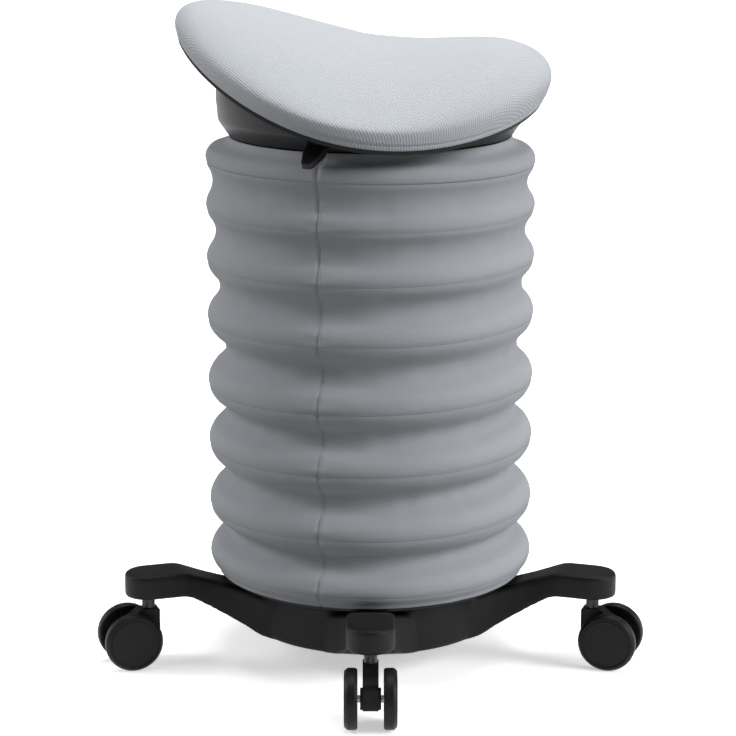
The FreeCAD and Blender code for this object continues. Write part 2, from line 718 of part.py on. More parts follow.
def rod_clip():
    """Snap ring in the rod's groove, under the tube's floor."""
    low = TUBE_FLOOR_Z - RUNNING_GAP - CLIP_THICKNESS + FIXED_GAP
    whole = ring(ROD_PIN_R - 1 + FIXED_GAP, CLIP_R, low, low + CLIP_THICKNESS - 2 * FIXED_GAP)
    return whole.cut(block(0, 2 * CLIP_R, -2, 2, low - 1, low + CLIP_THICKNESS + 1))


def piston():
    """Piston on the rod, inside the gas cylinder."""
    return turned([
        (ROD_R + FIXED_GAP, PISTON_Z, 0),
        (CYLINDER_BORE_R - RUNNING_GAP, PISTON_Z, 1),
        (CYLINDER_BORE_R - RUNNING_GAP, PISTON_Z + PISTON_HEIGHT, 1),
        (ROD_R + FIXED_GAP, PISTON_Z + PISTON_HEIGHT, 0),
    ])


def gas_cylinder():
    """Cylinder with its rod seal below and its tapered top in the seat mechanism."""
    seal = ROD_R + RUNNING_GAP
    chamber_top = CYLINDER_TOP_Z - VALVE_PIN_DEPTH - CYLINDER_CAP
    pin_hole = VALVE_PIN_R + RUNNING_GAP
    pin_floor = CYLINDER_TOP_Z - VALVE_PIN_DEPTH - STOP_GAP
    return turned([
        (seal, CYLINDER_BASE_Z, 0),
        (CYLINDER_R, CYLINDER_BASE_Z, 1.5),
        (CYLINDER_R, SOCKET_BASE_Z, 0),
        (CYLINDER_TAPER_END_R, CYLINDER_TOP_Z, 0),
        (pin_hole, CYLINDER_TOP_Z, 0),
        (pin_hole, pin_floor, 0),
        (0, pin_floor, 0),
        (0, chamber_top, 0),
        (CYLINDER_BORE_R, chamber_top, 0),
        (CYLINDER_BORE_R, CYLINDER_BASE_Z + CYLINDER_CAP, 0),
        (seal, CYLINDER_BASE_Z + CYLINDER_CAP, 0),
    ])


def valve_pin():
    """Pin that opens the gas cylinder's valve when the lever presses it."""
    top = CYLINDER_TOP_Z + VALVE_PIN_RISE
    return turned([
        (0, CYLINDER_TOP_Z - VALVE_PIN_DEPTH, 0),
        (VALVE_PIN_R, CYLINDER_TOP_Z - VALVE_PIN_DEPTH, 0),
        (VALVE_PIN_R, top, 0.8),
        (0, top, 0),
    ])


# Seat mechanism and lever

def seat_bolt_places():
    """Places (u, v) of the bolts from the mechanism into the seat shell."""
    ends = (PLATE_SET_FORWARD - SEAT_BOLT_HALF_LENGTH, PLATE_SET_FORWARD + SEAT_BOLT_HALF_LENGTH)
    return [(u, v) for u in ends for v in (-SEAT_BOLT_HALF_WIDTH, SEAT_BOLT_HALF_WIDTH)]


def seat_mechanism():
    """Plate under the seat shell, two webs for the lever, and the gas cylinder's socket."""
    u0 = PLATE_SET_FORWARD - PLATE_HALF_LENGTH
    u1 = PLATE_SET_FORWARD + PLATE_HALF_LENGTH
    outline = both_sides([(u0, PLATE_HALF_WIDTH, 14), (u1, PLATE_HALF_WIDTH, 14)])
    plate = seat_placed(plan(outline, PLATE_W, PLATE_W + PLATE_THICKNESS))
    above = seat_placed(block(u0 - 40, u1 + 40, -200, 200, PLATE_W + PLATE_THICKNESS / 2, 100))
    flange_z = SOCKET_TOP_Z - SOCKET_FLANGE_THICKNESS
    webs = []
    for side in (1, -1):
        faces = sorted((side * WEB_INNER_FACE, side * (WEB_INNER_FACE + WEB_THICKNESS)))
        web = block(-WEB_REACH_IN, WEB_REACH_OUT, faces[0], faces[1], flange_z, SEAT_ORIGIN.z)
        webs.append(spun(web, LEVER_ANGLE).cut(above))
    socket = post(0, 0, SOCKET_BASE_Z, SOCKET_TOP_Z, SOCKET_R)
    flange = post(0, 0, flange_z, SOCKET_TOP_Z, SOCKET_FLANGE_R)
    mechanism = joined([plate, socket, flange] + webs)
    taper = Part.makeCone(CYLINDER_R + FIXED_GAP, CYLINDER_TAPER_END_R + FIXED_GAP,
                          CYLINDER_TOP_Z - SOCKET_BASE_Z, Vector(0, 0, SOCKET_BASE_Z), UP)
    mechanism = mechanism.cut(taper)
    pin_hole = bar_across(LEVER_PIN_R + FIXED_GAP, 2 * SOCKET_R, LEVER_PIVOT_R, LEVER_PIVOT_Z)
    mechanism = mechanism.cut(spun(pin_hole, LEVER_ANGLE))
    for u, v in seat_bolt_places():
        mechanism = mechanism.cut(seat_placed(post(u, v, PLATE_W - 1, 0, SEAT_BOLT_R + SOFT_GAP)))
    return mechanism


def seat_bolts():
    """Bolts through the mechanism's plate into the seat shell's bosses."""
    bolts = []
    for u, v in seat_bolt_places():
        shank = post(u, v, PLATE_W - 1, PLATE_W + PLATE_THICKNESS + SEAT_BOLT_BITE, SEAT_BOLT_R)
        head = post(u, v, PLATE_W - SEAT_BOLT_HEAD, PLATE_W, SEAT_BOLT_HEAD_R)
        head = head.makeFillet(1, [head.Edges[2]])
        bolts.append(seat_placed(joined([shank, head])))
    return group(bolts)


def lever_pin():
    """Pin through the mechanism's webs that the lever rocks on."""
    half = WEB_INNER_FACE + WEB_THICKNESS + 1
    return spun(bar_across(LEVER_PIN_R, half, LEVER_PIVOT_R, LEVER_PIVOT_Z), LEVER_ANGLE)


def lever_line():
    """Middle line of the lever's bar, as (radius, z) points from the pivot outward."""
    return [
        (LEVER_PIVOT_R + 8, LEVER_PIVOT_Z),
        (LEVER_BEND_R, LEVER_PIVOT_Z - LEVER_BEND_DROP),
        (LEVER_END_R, LEVER_PIVOT_Z - LEVER_END_DROP),
    ]


def height_lever():
    """Flat steel bar from above the valve pin out through the bowl's slot."""
    start, bend, end = lever_line()
    half = LEVER_THICKNESS / 2
    inner_r = -VALVE_PIN_R - 1
    bar = slab([
        (inner_r, LEVER_PIVOT_Z - half, 0),
        (start[0], start[1] - half, 4),
        (bend[0], bend[1] - half, 4),
        (end[0], end[1] - half, 0),
        (end[0], end[1] + half, 0),
        (bend[0], bend[1] + half, 4),
        (start[0], start[1] + half, 4),
        (inner_r, LEVER_PIVOT_Z + half, 0),
    ], LEVER_HALF_WIDTH)
    boss = bar_across(LEVER_BOSS_R, WEB_INNER_FACE - SOFT_GAP, LEVER_PIVOT_R, LEVER_PIVOT_Z)
    lever = joined([bar, boss])
    lever = lever.cut(bar_across(LEVER_PIN_R + RUNNING_GAP, SOCKET_R, LEVER_PIVOT_R, LEVER_PIVOT_Z))
    return spun(lever, LEVER_ANGLE)


def lever_handle():
    """Tapered plastic handle on the bar's end, which droops over the sleeve."""
    bend, end = lever_line()[1:]
    slope = (end[1] - bend[1]) / (end[0] - bend[0])
    half = LEVER_THICKNESS / 2 + HANDLE_WALL
    start_z = bend[1] + slope * (HANDLE_START_R - bend[0])
    tip_z = bend[1] + slope * (HANDLE_TIP_R - bend[0])
    side = slab([
        (HANDLE_START_R, start_z - half, 1),
        (HANDLE_TIP_R, tip_z - half + 1, 2),
        (HANDLE_TIP_R, tip_z + half - 3, 2),
        (HANDLE_START_R, start_z + half, 1),
    ], HANDLE_HALF_WIDTH + 1)
    outline = plan(both_sides([
        (HANDLE_START_R - 1, HANDLE_HALF_WIDTH, 0),
        (HANDLE_START_R + 8, HANDLE_HALF_WIDTH, 6),
        (HANDLE_TIP_R, HANDLE_TIP_HALF_WIDTH, 4),
    ]), tip_z - 20, start_z + 20)
    handle = side.common(outline)
    hole_half = LEVER_THICKNESS / 2 + FIXED_GAP
    hole_end_z = end[1] + slope * SOFT_GAP
    hole = slab([
        (bend[0], bend[1] - hole_half, 0),
        (end[0] + SOFT_GAP, hole_end_z - hole_half, 0),
        (end[0] + SOFT_GAP, hole_end_z + hole_half, 0),
        (bend[0], bend[1] + hole_half, 0),
    ], LEVER_HALF_WIDTH + FIXED_GAP)
    return spun(handle.cut(hole), LEVER_ANGLE)


# Bowl, seat shell and cushion

def saddle_side(drop):
    """Cross-section line of the saddle, lowered by a drop: three tangent arcs, as (v, w) points."""
    turn = math.asin(SADDLE_MIDDLE_HALF / SADDLE_MIDDLE_R)
    end = math.asin(math.sin(turn) + (SADDLE_FLAP_REACH - SADDLE_MIDDLE_HALF) / SADDLE_FLAP_R)
    knee_w = -SADDLE_MIDDLE_R * (1 - math.cos(turn))

    def flap(angle):
        v = SADDLE_MIDDLE_HALF + SADDLE_FLAP_R * (math.sin(angle) - math.sin(turn))
        return v, knee_w - SADDLE_FLAP_R * (math.cos(turn) - math.cos(angle)) - drop

    return (0, -drop), (SADDLE_MIDDLE_HALF, knee_w - drop), flap((turn + end) / 2), flap(end)


def saddle_region(drop, far_w):
    """Everything between the saddle surface, lowered by a drop, and the level far_w."""
    top, knee, middle, end = saddle_side(drop)
    u0 = -SEAT_LENGTH

    def at(point, side=1):
        return Vector(u0, side * point[0], point[1])

    edges = [
        Part.Arc(at(end, -1), at(middle, -1), at(knee, -1)).toShape(),
        Part.Arc(at(knee, -1), at(top), at(knee)).toShape(),
        Part.Arc(at(knee), at(middle), at(end)).toShape(),
        Part.LineSegment(at(end), Vector(u0, end[0], far_w)).toShape(),
        Part.LineSegment(Vector(u0, end[0], far_w), Vector(u0, -end[0], far_w)).toShape(),
        Part.LineSegment(Vector(u0, -end[0], far_w), at(end, -1)).toShape(),
    ]
    return Part.Face(Part.Wire(edges)).extrude(Vector(2 * SEAT_LENGTH, 0, 0))


def rim_half_width(u):
    """Half the seat's width at u, along its elliptical rim."""
    return SEAT_WIDTH / 2 * math.sqrt(max(0, 1 - (2 * u / SEAT_LENGTH) ** 2))


def saddle_height(v):
    """Height w of the saddle surface at v."""
    turn = math.asin(SADDLE_MIDDLE_HALF / SADDLE_MIDDLE_R)
    if abs(v) <= SADDLE_MIDDLE_HALF:
        return math.sqrt(SADDLE_MIDDLE_R ** 2 - v * v) - SADDLE_MIDDLE_R
    knee_w = -SADDLE_MIDDLE_R * (1 - math.cos(turn))
    angle = math.asin(math.sin(turn) + (abs(v) - SADDLE_MIDDLE_HALF) / SADDLE_FLAP_R)
    return knee_w - SADDLE_FLAP_R * (math.cos(turn) - math.cos(angle))


def crown_height(u):
    """Height w of the cushion's ridge at u: it rises to the back a little and to the front more."""
    rise = CUSHION_FRONT_RISE if u > 0 else CUSHION_BACK_RISE
    return CUSHION_MIDDLE_HEIGHT + rise * (u / CUSHION_CROWN_REACH) ** 2


def edge_height(u):
    """Height of the cushion's side wall at u. The front lip is thicker than the back."""
    forward = (1 + 2 * u / SEAT_LENGTH) / 2
    return CUSHION_BACK_EDGE + (CUSHION_FRONT_EDGE - CUSHION_BACK_EDGE) * min(1, max(0, forward)) ** 2


def quarter(share):
    """Height of a quarter circle of radius 1 at a share of its reach."""
    return math.sqrt(max(0, 1 - min(1, max(0, share)) ** 2))


def cushion_section(u, inset):
    """One closed cross-section of the cushion at u, drawn in by an inset."""
    half_length = SEAT_LENGTH / 2
    reach = half_length + CUSHION_BULGE
    bulge_v = (SEAT_WIDTH / 2 + CUSHION_BULGE) * quarter(abs(u) / reach)
    low_v = max(rim_half_width(u), 0.6 * bulge_v)
    rim = saddle_height(low_v)
    edge = edge_height(u)
    bulge_w = rim + CUSHION_BULGE_SHARE * edge
    turn_start = half_length - CUSHION_EDGE_INSET
    ridge = bulge_w + (crown_height(u) - bulge_w) * quarter((abs(u) - turn_start) / (reach - turn_start))
    draw_in = (CUSHION_EDGE_INSET + CUSHION_BULGE) * min(1, bulge_v / (3 * CUSHION_EDGE_INSET))
    shoulder_w = rim + min(edge, 0.8 * (ridge - rim)) - inset
    shoulder_v = bulge_v - draw_in - inset
    low_v -= inset
    low_w = rim - CUSHION_UNDERCUT
    if abs(u) > half_length:
        low_w = bulge_w - bulge_w * quarter((abs(u) - half_length) / CUSHION_BULGE)
        rim = low_w + (bulge_w - low_w) / 3

    def at(v, w):
        return Vector(u * (1 - inset / reach), v, w)

    bulge = (bulge_v - inset, bulge_w)
    return Part.Wire([
        Part.LineSegment(at(-low_v, low_w), at(low_v, low_w)).toShape(),
        Part.LineSegment(at(low_v, low_w), at(low_v, rim)).toShape(),
        Part.Arc(at(low_v, rim), at(*bulge), at(shoulder_v, shoulder_w)).toShape(),
        Part.Arc(at(shoulder_v, shoulder_w), at(0, ridge - inset), at(-shoulder_v, shoulder_w)).toShape(),
        Part.Arc(at(-shoulder_v, shoulder_w), at(-bulge[0], bulge_w), at(-low_v, rim)).toShape(),
        Part.LineSegment(at(-low_v, rim), at(-low_v, low_w)).toShape(),
    ])


def cushion(inset):
    """The padded form on the saddle, drawn in by an inset, in the seat's own frame."""
    reach = SEAT_LENGTH / 2 + CUSHION_BULGE
    shares = [-share for share in reversed(CUSHION_STATIONS[1:])] + list(CUSHION_STATIONS)
    wires = [cushion_section(share * reach, inset) for share in shares]
    whole = Part.makeLoft(wires, True, False)
    return whole.cut(saddle_region(-inset - SOFT_GAP, -2 * SEAT_WIDTH))


def seat_cover():
    """Fabric cover round the foam."""
    return seat_placed(cushion(0).cut(cushion(COVER_THICKNESS)))


def seat_foam():
    """Foam in the cover."""
    room = cushion(COVER_THICKNESS)
    return seat_placed(cushion(COVER_THICKNESS + FOAM_GAP).common(room))


def seat_shell():
    """Black moulded shell under the cushion. Its edge shows as the seat's dark rim."""
    rim = Part.Ellipse(Vector(0, 0, -SEAT_WIDTH), SEAT_LENGTH / 2, SEAT_WIDTH / 2)
    outline = Part.Face(Part.Wire([rim.toShape()])).extrude(Vector(0, 0, 2 * SEAT_WIDTH))
    band = saddle_region(SHELL_THICKNESS, SEAT_WIDTH).cut(saddle_region(0, 2 * SEAT_WIDTH))
    shell = seat_placed(outline.common(band))
    under_plate = PLATE_W + PLATE_THICKNESS
    bosses = [seat_placed(post(u, v, under_plate, 0, SEAT_BOSS_R)) for u, v in seat_bolt_places()]
    boss_z = BOWL_FLOOR_Z + BOWL_BOSS_RISE
    bosses += [post(x, y, boss_z, SEAT_ORIGIN.z + 40, BOWL_BOSS_R) for x, y in bowl_screw_places()]
    above = seat_placed(saddle_region(SHELL_THICKNESS / 2, 2 * SEAT_WIDTH))
    shell = joined([shell] + [boss.cut(above) for boss in bosses])
    for u, v in seat_bolt_places():
        hole = post(u, v, under_plate - 1, under_plate + SEAT_BOLT_BITE + 0.5, SEAT_BOLT_R + FIXED_GAP)
        shell = shell.cut(seat_placed(hole))
    for x, y in bowl_screw_places():
        shell = shell.cut(post(x, y, boss_z - 1, boss_z + BOWL_SCREW_BITE + 1, BOWL_SCREW_R + FIXED_GAP))
    return shell


def bowl_screw_places():
    """Places (x, y) of the screws from the bowl into the seat shell."""
    return on_circle(BOWL_SCREW_CIRCLE_R, BOWL_SCREW_COUNT, 45)


def seat_bowl():
    """Bowl under the seat, with a skirt that the sleeve's neck ring hangs on."""
    high = BOWL_FLOOR_Z + SEAT_RISE + 60
    floor_top = BOWL_FLOOR_Z + BOWL_FLOOR
    shell = turned([
        (BOWL_HOLE_R, BOWL_FLOOR_Z, 0),
        (BOWL_FOOT_R, BOWL_FLOOR_Z, 2),
        (BOWL_R - 1.5, BOWL_FLOOR_Z + 13, 10),
        (BOWL_R, BOWL_FLOOR_Z + 30, 30),
        (BOWL_R - 0.5, high, 0),
        (BOWL_R - 0.5 - BOWL_WALL, high, 0),
        (BOWL_R - BOWL_WALL, BOWL_FLOOR_Z + 30, 30),
        (BOWL_R - 2 - BOWL_WALL, BOWL_FLOOR_Z + 14, 10),
        (BOWL_FOOT_R - BOWL_WALL, floor_top, 2),
        (BOWL_HOLE_R, floor_top, 0),
    ])
    skirt_z = BOWL_FLOOR_Z - SKIRT_DROP
    skirt = turned([
        (SKIRT_R - SKIRT_WALL, skirt_z, 0.5),
        (SKIRT_R + SKIRT_BEAD, skirt_z, 0.5),
        (SKIRT_R + SKIRT_BEAD, skirt_z + SKIRT_BEAD_HEIGHT, 0),
        (SKIRT_R, skirt_z + SKIRT_BEAD_HEIGHT, 0),
        (SKIRT_R, BOWL_FLOOR_Z + 1, 0),
        (SKIRT_R - SKIRT_WALL, BOWL_FLOOR_Z + 1, 0),
    ])
    boss_z = BOWL_FLOOR_Z + BOWL_BOSS_RISE
    bosses = [post(x, y, BOWL_FLOOR_Z + 1, boss_z, BOWL_BOSS_R) for x, y in bowl_screw_places()]
    above = seat_placed(saddle_region(SHELL_THICKNESS + SOFT_GAP, 3 * SEAT_WIDTH))
    bowl = joined([shell.cut(above), skirt] + bosses)
    for x, y in bowl_screw_places():
        bowl = bowl.cut(post(x, y, BOWL_FLOOR_Z - 1, boss_z + 1, BOWL_SCREW_R + FIXED_GAP))
    return bowl.cut(lever_slot())


def lever_slot():
    """Room in the bowl's wall for the lever at rest and lifted."""
    bend, end = lever_line()[1:]
    slope = (end[1] - bend[1]) / (end[0] - bend[0])
    lever_top = bend[1] + slope * (BOWL_R - bend[0]) + LEVER_THICKNESS / 2
    swing = (BOWL_R - LEVER_PIVOT_R) * math.sin(math.radians(LEVER_LIFT))
    low = BOWL_FLOOR_Z + BOWL_FLOOR + SLOT_SILL
    high = lever_top + swing + SLOT_CLEARANCE
    slot = block(BOWL_FOOT_R - 10, BOWL_R + 5, -SLOT_HALF_WIDTH, SLOT_HALF_WIDTH, low, high)
    return spun(slot, LEVER_ANGLE)


def bowl_screws():
    """Screws from below the bowl into the seat shell."""
    top = BOWL_FLOOR_Z + BOWL_BOSS_RISE + BOWL_SCREW_BITE
    screws = []
    for x, y in bowl_screw_places():
        shank = post(x, y, BOWL_FLOOR_Z - 1, top, BOWL_SCREW_R)
        head = post(x, y, BOWL_FLOOR_Z - BOWL_SCREW_HEAD, BOWL_FLOOR_Z, BOWL_SCREW_HEAD_R)
        screws.append(joined([shank, head]))
    return group(screws)


# Sleeve

def hoop_heights():
    """Heights of the hoops from the lowest up. The gaps keep their proportions if the column grows."""
    stretch = HOOP_SPAN / sum(HOOP_GAPS_UPWARD)
    heights = [LOWEST_HOOP_Z]
    for gap in HOOP_GAPS_UPWARD:
        heights.append(heights[-1] + gap * stretch)
    return heights


def hoop(z):
    """Round wire hoop that holds one fold open."""
    return Part.makeTorus(HOOP_R, HOOP_WIRE_R, Vector(0, 0, z), UP)


def neck_ring():
    """Ring in the sleeve's neck. It rests on the bowl's bead and lets the seat turn."""
    inner = SKIRT_R + SOFT_GAP
    outer = NECK_R - FABRIC - SOFT_GAP
    low = BOWL_FLOOR_Z - SKIRT_DROP + SKIRT_BEAD_HEIGHT + SOFT_GAP
    return turned([(inner, low, 0.5), (outer, low, 2), (outer, NECK_TOP_Z, 1), (inner, NECK_TOP_Z, 0.5)])


def fold_side(crest_z, low_r, low_z, crest_share, inset):
    """Half a fold, from a crest to the low line beside it: a crest arc, then a hollow arc tangent to it."""
    crest_r = HOOP_R + HOOP_WIRE_R + SOFT_GAP + FABRIC
    rise = abs(low_z - crest_z)
    way = 1 if low_z > crest_z else -1
    turn = 2 * math.atan((crest_r - low_r) / rise)
    both = rise / math.sin(turn)
    crest_round = both * crest_share
    hollow_round = both - crest_round

    def crest(angle):
        radius = crest_round - inset
        return upright(crest_r - crest_round + radius * math.cos(angle), crest_z + way * radius * math.sin(angle))

    def hollow(angle):
        radius = hollow_round + inset
        return upright(low_r + hollow_round - radius * math.cos(angle), low_z - way * radius * math.sin(angle))

    return [
        Part.Arc(crest(0), crest(turn / 2), crest(turn)).toShape(),
        Part.Arc(hollow(turn), hollow(turn / 2), hollow(0)).toShape(),
    ]


def sleeve_path(inset):
    """Side line of the sleeve from the neck down to the hem, set in by an inset."""
    heights = hoop_heights()
    crest_r = HOOP_R + HOOP_WIRE_R + SOFT_GAP + FABRIC
    neck_z = NECK_TOP_Z - NECK_HEIGHT
    hem_z = HEM_Z + HEM_HEIGHT
    edges = [
        Part.LineSegment(upright(NECK_R - inset, NECK_TOP_Z), upright(NECK_R - inset, neck_z)).toShape(),
        Part.LineSegment(upright(HEM_R - inset, HEM_Z), upright(HEM_R - inset, hem_z)).toShape(),
    ]
    edges += fold_side(heights[-1], NECK_R, neck_z, NECK_CREST_SHARE, inset)
    edges += fold_side(heights[0], HEM_R, hem_z, HEM_CREST_SHARE, inset)
    for i, (depth, share) in enumerate(zip(FOLD_DEPTHS_UPWARD, CREST_SHARES_UPWARD)):
        middle_z = (heights[i] + heights[i + 1]) / 2
        edges += fold_side(heights[i], crest_r - depth, middle_z, share, inset)
        edges += fold_side(heights[i + 1], crest_r - depth, middle_z, share, inset)
    return edges


def fabric_sleeve():
    """Bellows sleeve of one thickness of fabric over the hoops."""
    outside = sleeve_path(0)
    inside = sleeve_path(FABRIC)
    neck = Part.LineSegment(upright(NECK_R - FABRIC, NECK_TOP_Z), upright(NECK_R, NECK_TOP_Z)).toShape()
    hem = Part.LineSegment(upright(HEM_R, HEM_Z), upright(HEM_R - FABRIC, HEM_Z)).toShape()
    outline = Part.Wire(Part.sortEdges(outside + inside + [neck, hem])[0])
    return Part.Face(outline).revolve(ORIGIN, UP, 360)


def dish_screw_places():
    """Places (x, y) of the dish's screws, between the arms."""
    middle_angle = FIRST_ARM_ANGLE + 180.0 / ARM_COUNT
    return on_circle(HUB_R - HUB_WALL / 2, ARM_COUNT, middle_angle)


def sleeve_dish():
    """Dish on the hub that the sleeve's hem is drawn over."""
    rim_r = HEM_R - FABRIC - SOFT_GAP
    top = HUB_TOP_Z + DISH_THICKNESS
    dish = turned([
        (DISH_INNER_R, HUB_TOP_Z, 0.5),
        (HUB_R - 1, HUB_TOP_Z, 2),
        (rim_r - DISH_THICKNESS, HEM_Z + 1, 3),
        (rim_r - DISH_THICKNESS, HEM_Z, 0),
        (rim_r, HEM_Z, 0.8),
        (rim_r, HEM_Z + DISH_RIM_HEIGHT, 1),
        (rim_r - DISH_THICKNESS, HEM_Z + DISH_RIM_HEIGHT, 1),
        (rim_r - DISH_THICKNESS - 1, HEM_Z + 4, 2),
        (HUB_R - 1, top, 2),
        (DISH_INNER_R, top, 0.5),
    ])
    for x, y in dish_screw_places():
        dish = dish.cut(post(x, y, HUB_TOP_Z - 1, top + 1, DISH_SCREW_R + SOFT_GAP))
    return dish


def dish_screws():
    """Screws through the dish into the hub's wall."""
    top = HUB_TOP_Z + DISH_THICKNESS
    screws = []
    for x, y in dish_screw_places():
        shank = post(x, y, HUB_TOP_Z - DISH_SCREW_BITE, top + 1, DISH_SCREW_R)
        screws.append(joined([shank, post(x, y, top, top + DISH_SCREW_HEAD, DISH_SCREW_HEAD_R)]))
    return group(screws)


# All nodes

def castor_nodes():
    """The castors: stems in one node, and each body, axle and wheel in its own."""
    nodes = {"castor_stems": group([castor_placed(castor_stem(), i) for i in range(ARM_COUNT)])}
    for i in range(ARM_COUNT):
        number = i + 1
        nodes[f"castor_{number}_body"] = castor_placed(castor_body(), i)
        nodes[f"castor_{number}_axle"] = castor_placed(castor_axle(), i)
        nodes[f"castor_{number}_wheel_a"] = castor_placed(castor_wheel(1), i)
        nodes[f"castor_{number}_wheel_b"] = castor_placed(castor_wheel(-1), i)
    return nodes


def hoop_nodes():
    """The hoops, numbered from the top down."""
    heights = hoop_heights()
    return {f"hoop_{len(heights) - i}": hoop(z) for i, z in enumerate(heights)}


def all_nodes():
    """Every node's name and shape."""
    nodes = {
        "star_base": star_base(),
        "foot_yoke": foot_yoke(),
        "foot_bolts": foot_bolts(),
        "lower_bushes": ear_bushes(),
        "return_spring": return_spring(),
        "sleeve_dish": sleeve_dish(),
        "dish_screws": dish_screws(),
        "yoke_cross": yoke_cross(),
        "column_foot": column_foot(),
        "upper_bushes": spun(ear_bushes(), 90),
        "lift_tube": lift_tube(),
        "guide_bush": guide_bush(),
        "thrust_bearing": thrust_bearing(),
        "piston_rod": piston_rod(),
        "rod_clip": rod_clip(),
        "piston": piston(),
        "gas_cylinder": gas_cylinder(),
        "valve_pin": valve_pin(),
        "seat_mechanism": seat_mechanism(),
        "seat_bolts": seat_bolts(),
        "lever_pin": lever_pin(),
        "height_lever": height_lever(),
        "lever_handle": lever_handle(),
        "seat_bowl": seat_bowl(),
        "bowl_screws": bowl_screws(),
        "seat_shell": seat_shell(),
        "seat_foam": seat_foam(),
        "seat_cover": seat_cover(),
        "neck_ring": neck_ring(),
        "fabric_sleeve": fabric_sleeve(),
    }
    nodes.update(castor_nodes())
    nodes.update(hoop_nodes())
    return nodes


def main():
    """Writes one STEP file per node."""
    os.makedirs("parts", exist_ok=True)
    for name, shape in all_nodes().items():
        shape.exportStep(f"parts/{name}.step")
        box = shape.BoundBox
        print(f"{name}: {len(shape.Solids)} solids, valid {shape.isValid()}, "
              f"x {box.XMin:.1f} {box.XMax:.1f}, y {box.YMin:.1f} {box.YMax:.1f}, z {box.ZMin:.1f} {box.ZMax:.1f}")


main()
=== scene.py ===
import json
import logging
import math
from dataclasses import dataclass, field
from enum import Enum
from typing import Any, Callable, Sequence

import bmesh
import bpy
from mathutils import Matrix, Vector, noise


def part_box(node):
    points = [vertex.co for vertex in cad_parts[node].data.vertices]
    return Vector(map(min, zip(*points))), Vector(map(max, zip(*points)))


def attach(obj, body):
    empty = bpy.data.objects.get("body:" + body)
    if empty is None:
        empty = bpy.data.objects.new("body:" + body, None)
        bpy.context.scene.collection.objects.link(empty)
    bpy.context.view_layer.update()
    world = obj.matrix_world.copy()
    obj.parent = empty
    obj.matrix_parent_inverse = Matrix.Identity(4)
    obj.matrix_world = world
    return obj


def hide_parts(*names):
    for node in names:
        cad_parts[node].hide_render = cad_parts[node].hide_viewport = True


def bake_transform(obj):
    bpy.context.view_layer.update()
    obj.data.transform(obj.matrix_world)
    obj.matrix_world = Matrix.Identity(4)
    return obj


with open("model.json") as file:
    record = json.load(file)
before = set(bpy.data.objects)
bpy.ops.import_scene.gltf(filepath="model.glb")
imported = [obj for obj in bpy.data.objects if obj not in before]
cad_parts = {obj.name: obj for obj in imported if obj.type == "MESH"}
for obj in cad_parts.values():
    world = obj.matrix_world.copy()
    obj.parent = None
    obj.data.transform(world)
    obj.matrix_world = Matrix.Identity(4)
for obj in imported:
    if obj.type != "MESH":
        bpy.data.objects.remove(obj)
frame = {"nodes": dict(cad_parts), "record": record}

# Wobble stool: a saddle seat on a gas lift, inside a bellows sleeve, on a five-arm castor base.
# Metres. The floor is z = 0, the column's axis is x = y = 0, and the seat's front looks to +X.

LOG = logging.getLogger("wobble_stool")
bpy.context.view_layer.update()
ARM_COUNT = 5
HOOP_COUNT = 8
WHITE = (1.0, 1.0, 1.0, 1.0)
MOULDED_SOFT = {"star_base": 0.0016}  # parts remade as one soft-edged moulding, with the voxel's size
SOFTENING_PASSES = 12
WELD_DISTANCE = 0.00002
CRISP_ANGLE = math.radians(28)
TREAD_ANGLE = 40.0


# Shader maths

class Value:
    """A number in a material's node tree. Arithmetic on it adds Math nodes."""

    def __init__(self, shading: "Shading", socket: bpy.types.NodeSocket) -> None:
        """Wraps one output socket.

        Args:
            shading: The material that the socket belongs to.
            socket: The output socket.
        """
        self.shading = shading
        self.socket = socket

    def maths(self, operation: str, *others: Any) -> "Value":
        """Applies a Math node to this value and others.

        Args:
            operation: The Math node's operation.
            others: Further operands, values or numbers.

        Returns:
            The node's result.
        """
        return self.shading.maths(operation, self, *others)

    def __add__(self, other: Any) -> "Value":
        """Sum."""
        return self.maths("ADD", other)

    def __radd__(self, other: Any) -> "Value":
        """Sum, reflected."""
        return self.shading.maths("ADD", other, self)

    def __sub__(self, other: Any) -> "Value":
        """Difference."""
        return self.maths("SUBTRACT", other)

    def __rsub__(self, other: Any) -> "Value":
        """Difference, reflected."""
        return self.shading.maths("SUBTRACT", other, self)

    def __mul__(self, other: Any) -> "Value":
        """Product."""
        return self.maths("MULTIPLY", other)

    def __rmul__(self, other: Any) -> "Value":
        """Product, reflected."""
        return self.shading.maths("MULTIPLY", other, self)

    def sine(self) -> "Value":
        """Sine of an angle in radians."""
        return self.maths("SINE")

    def between(self, low: float, high: float) -> "Value":
        """Smooth step from 0 at low to 1 at high.

        Args:
            low: The value that gives 0.
            high: The value that gives 1.

        Returns:
            The step.
        """
        node = self.shading.node(
            "ShaderNodeMapRange", {"interpolation_type": "SMOOTHSTEP"},
            {"Value": self, "From Min": low, "From Max": high})
        return Value(self.shading, node.outputs["Result"])


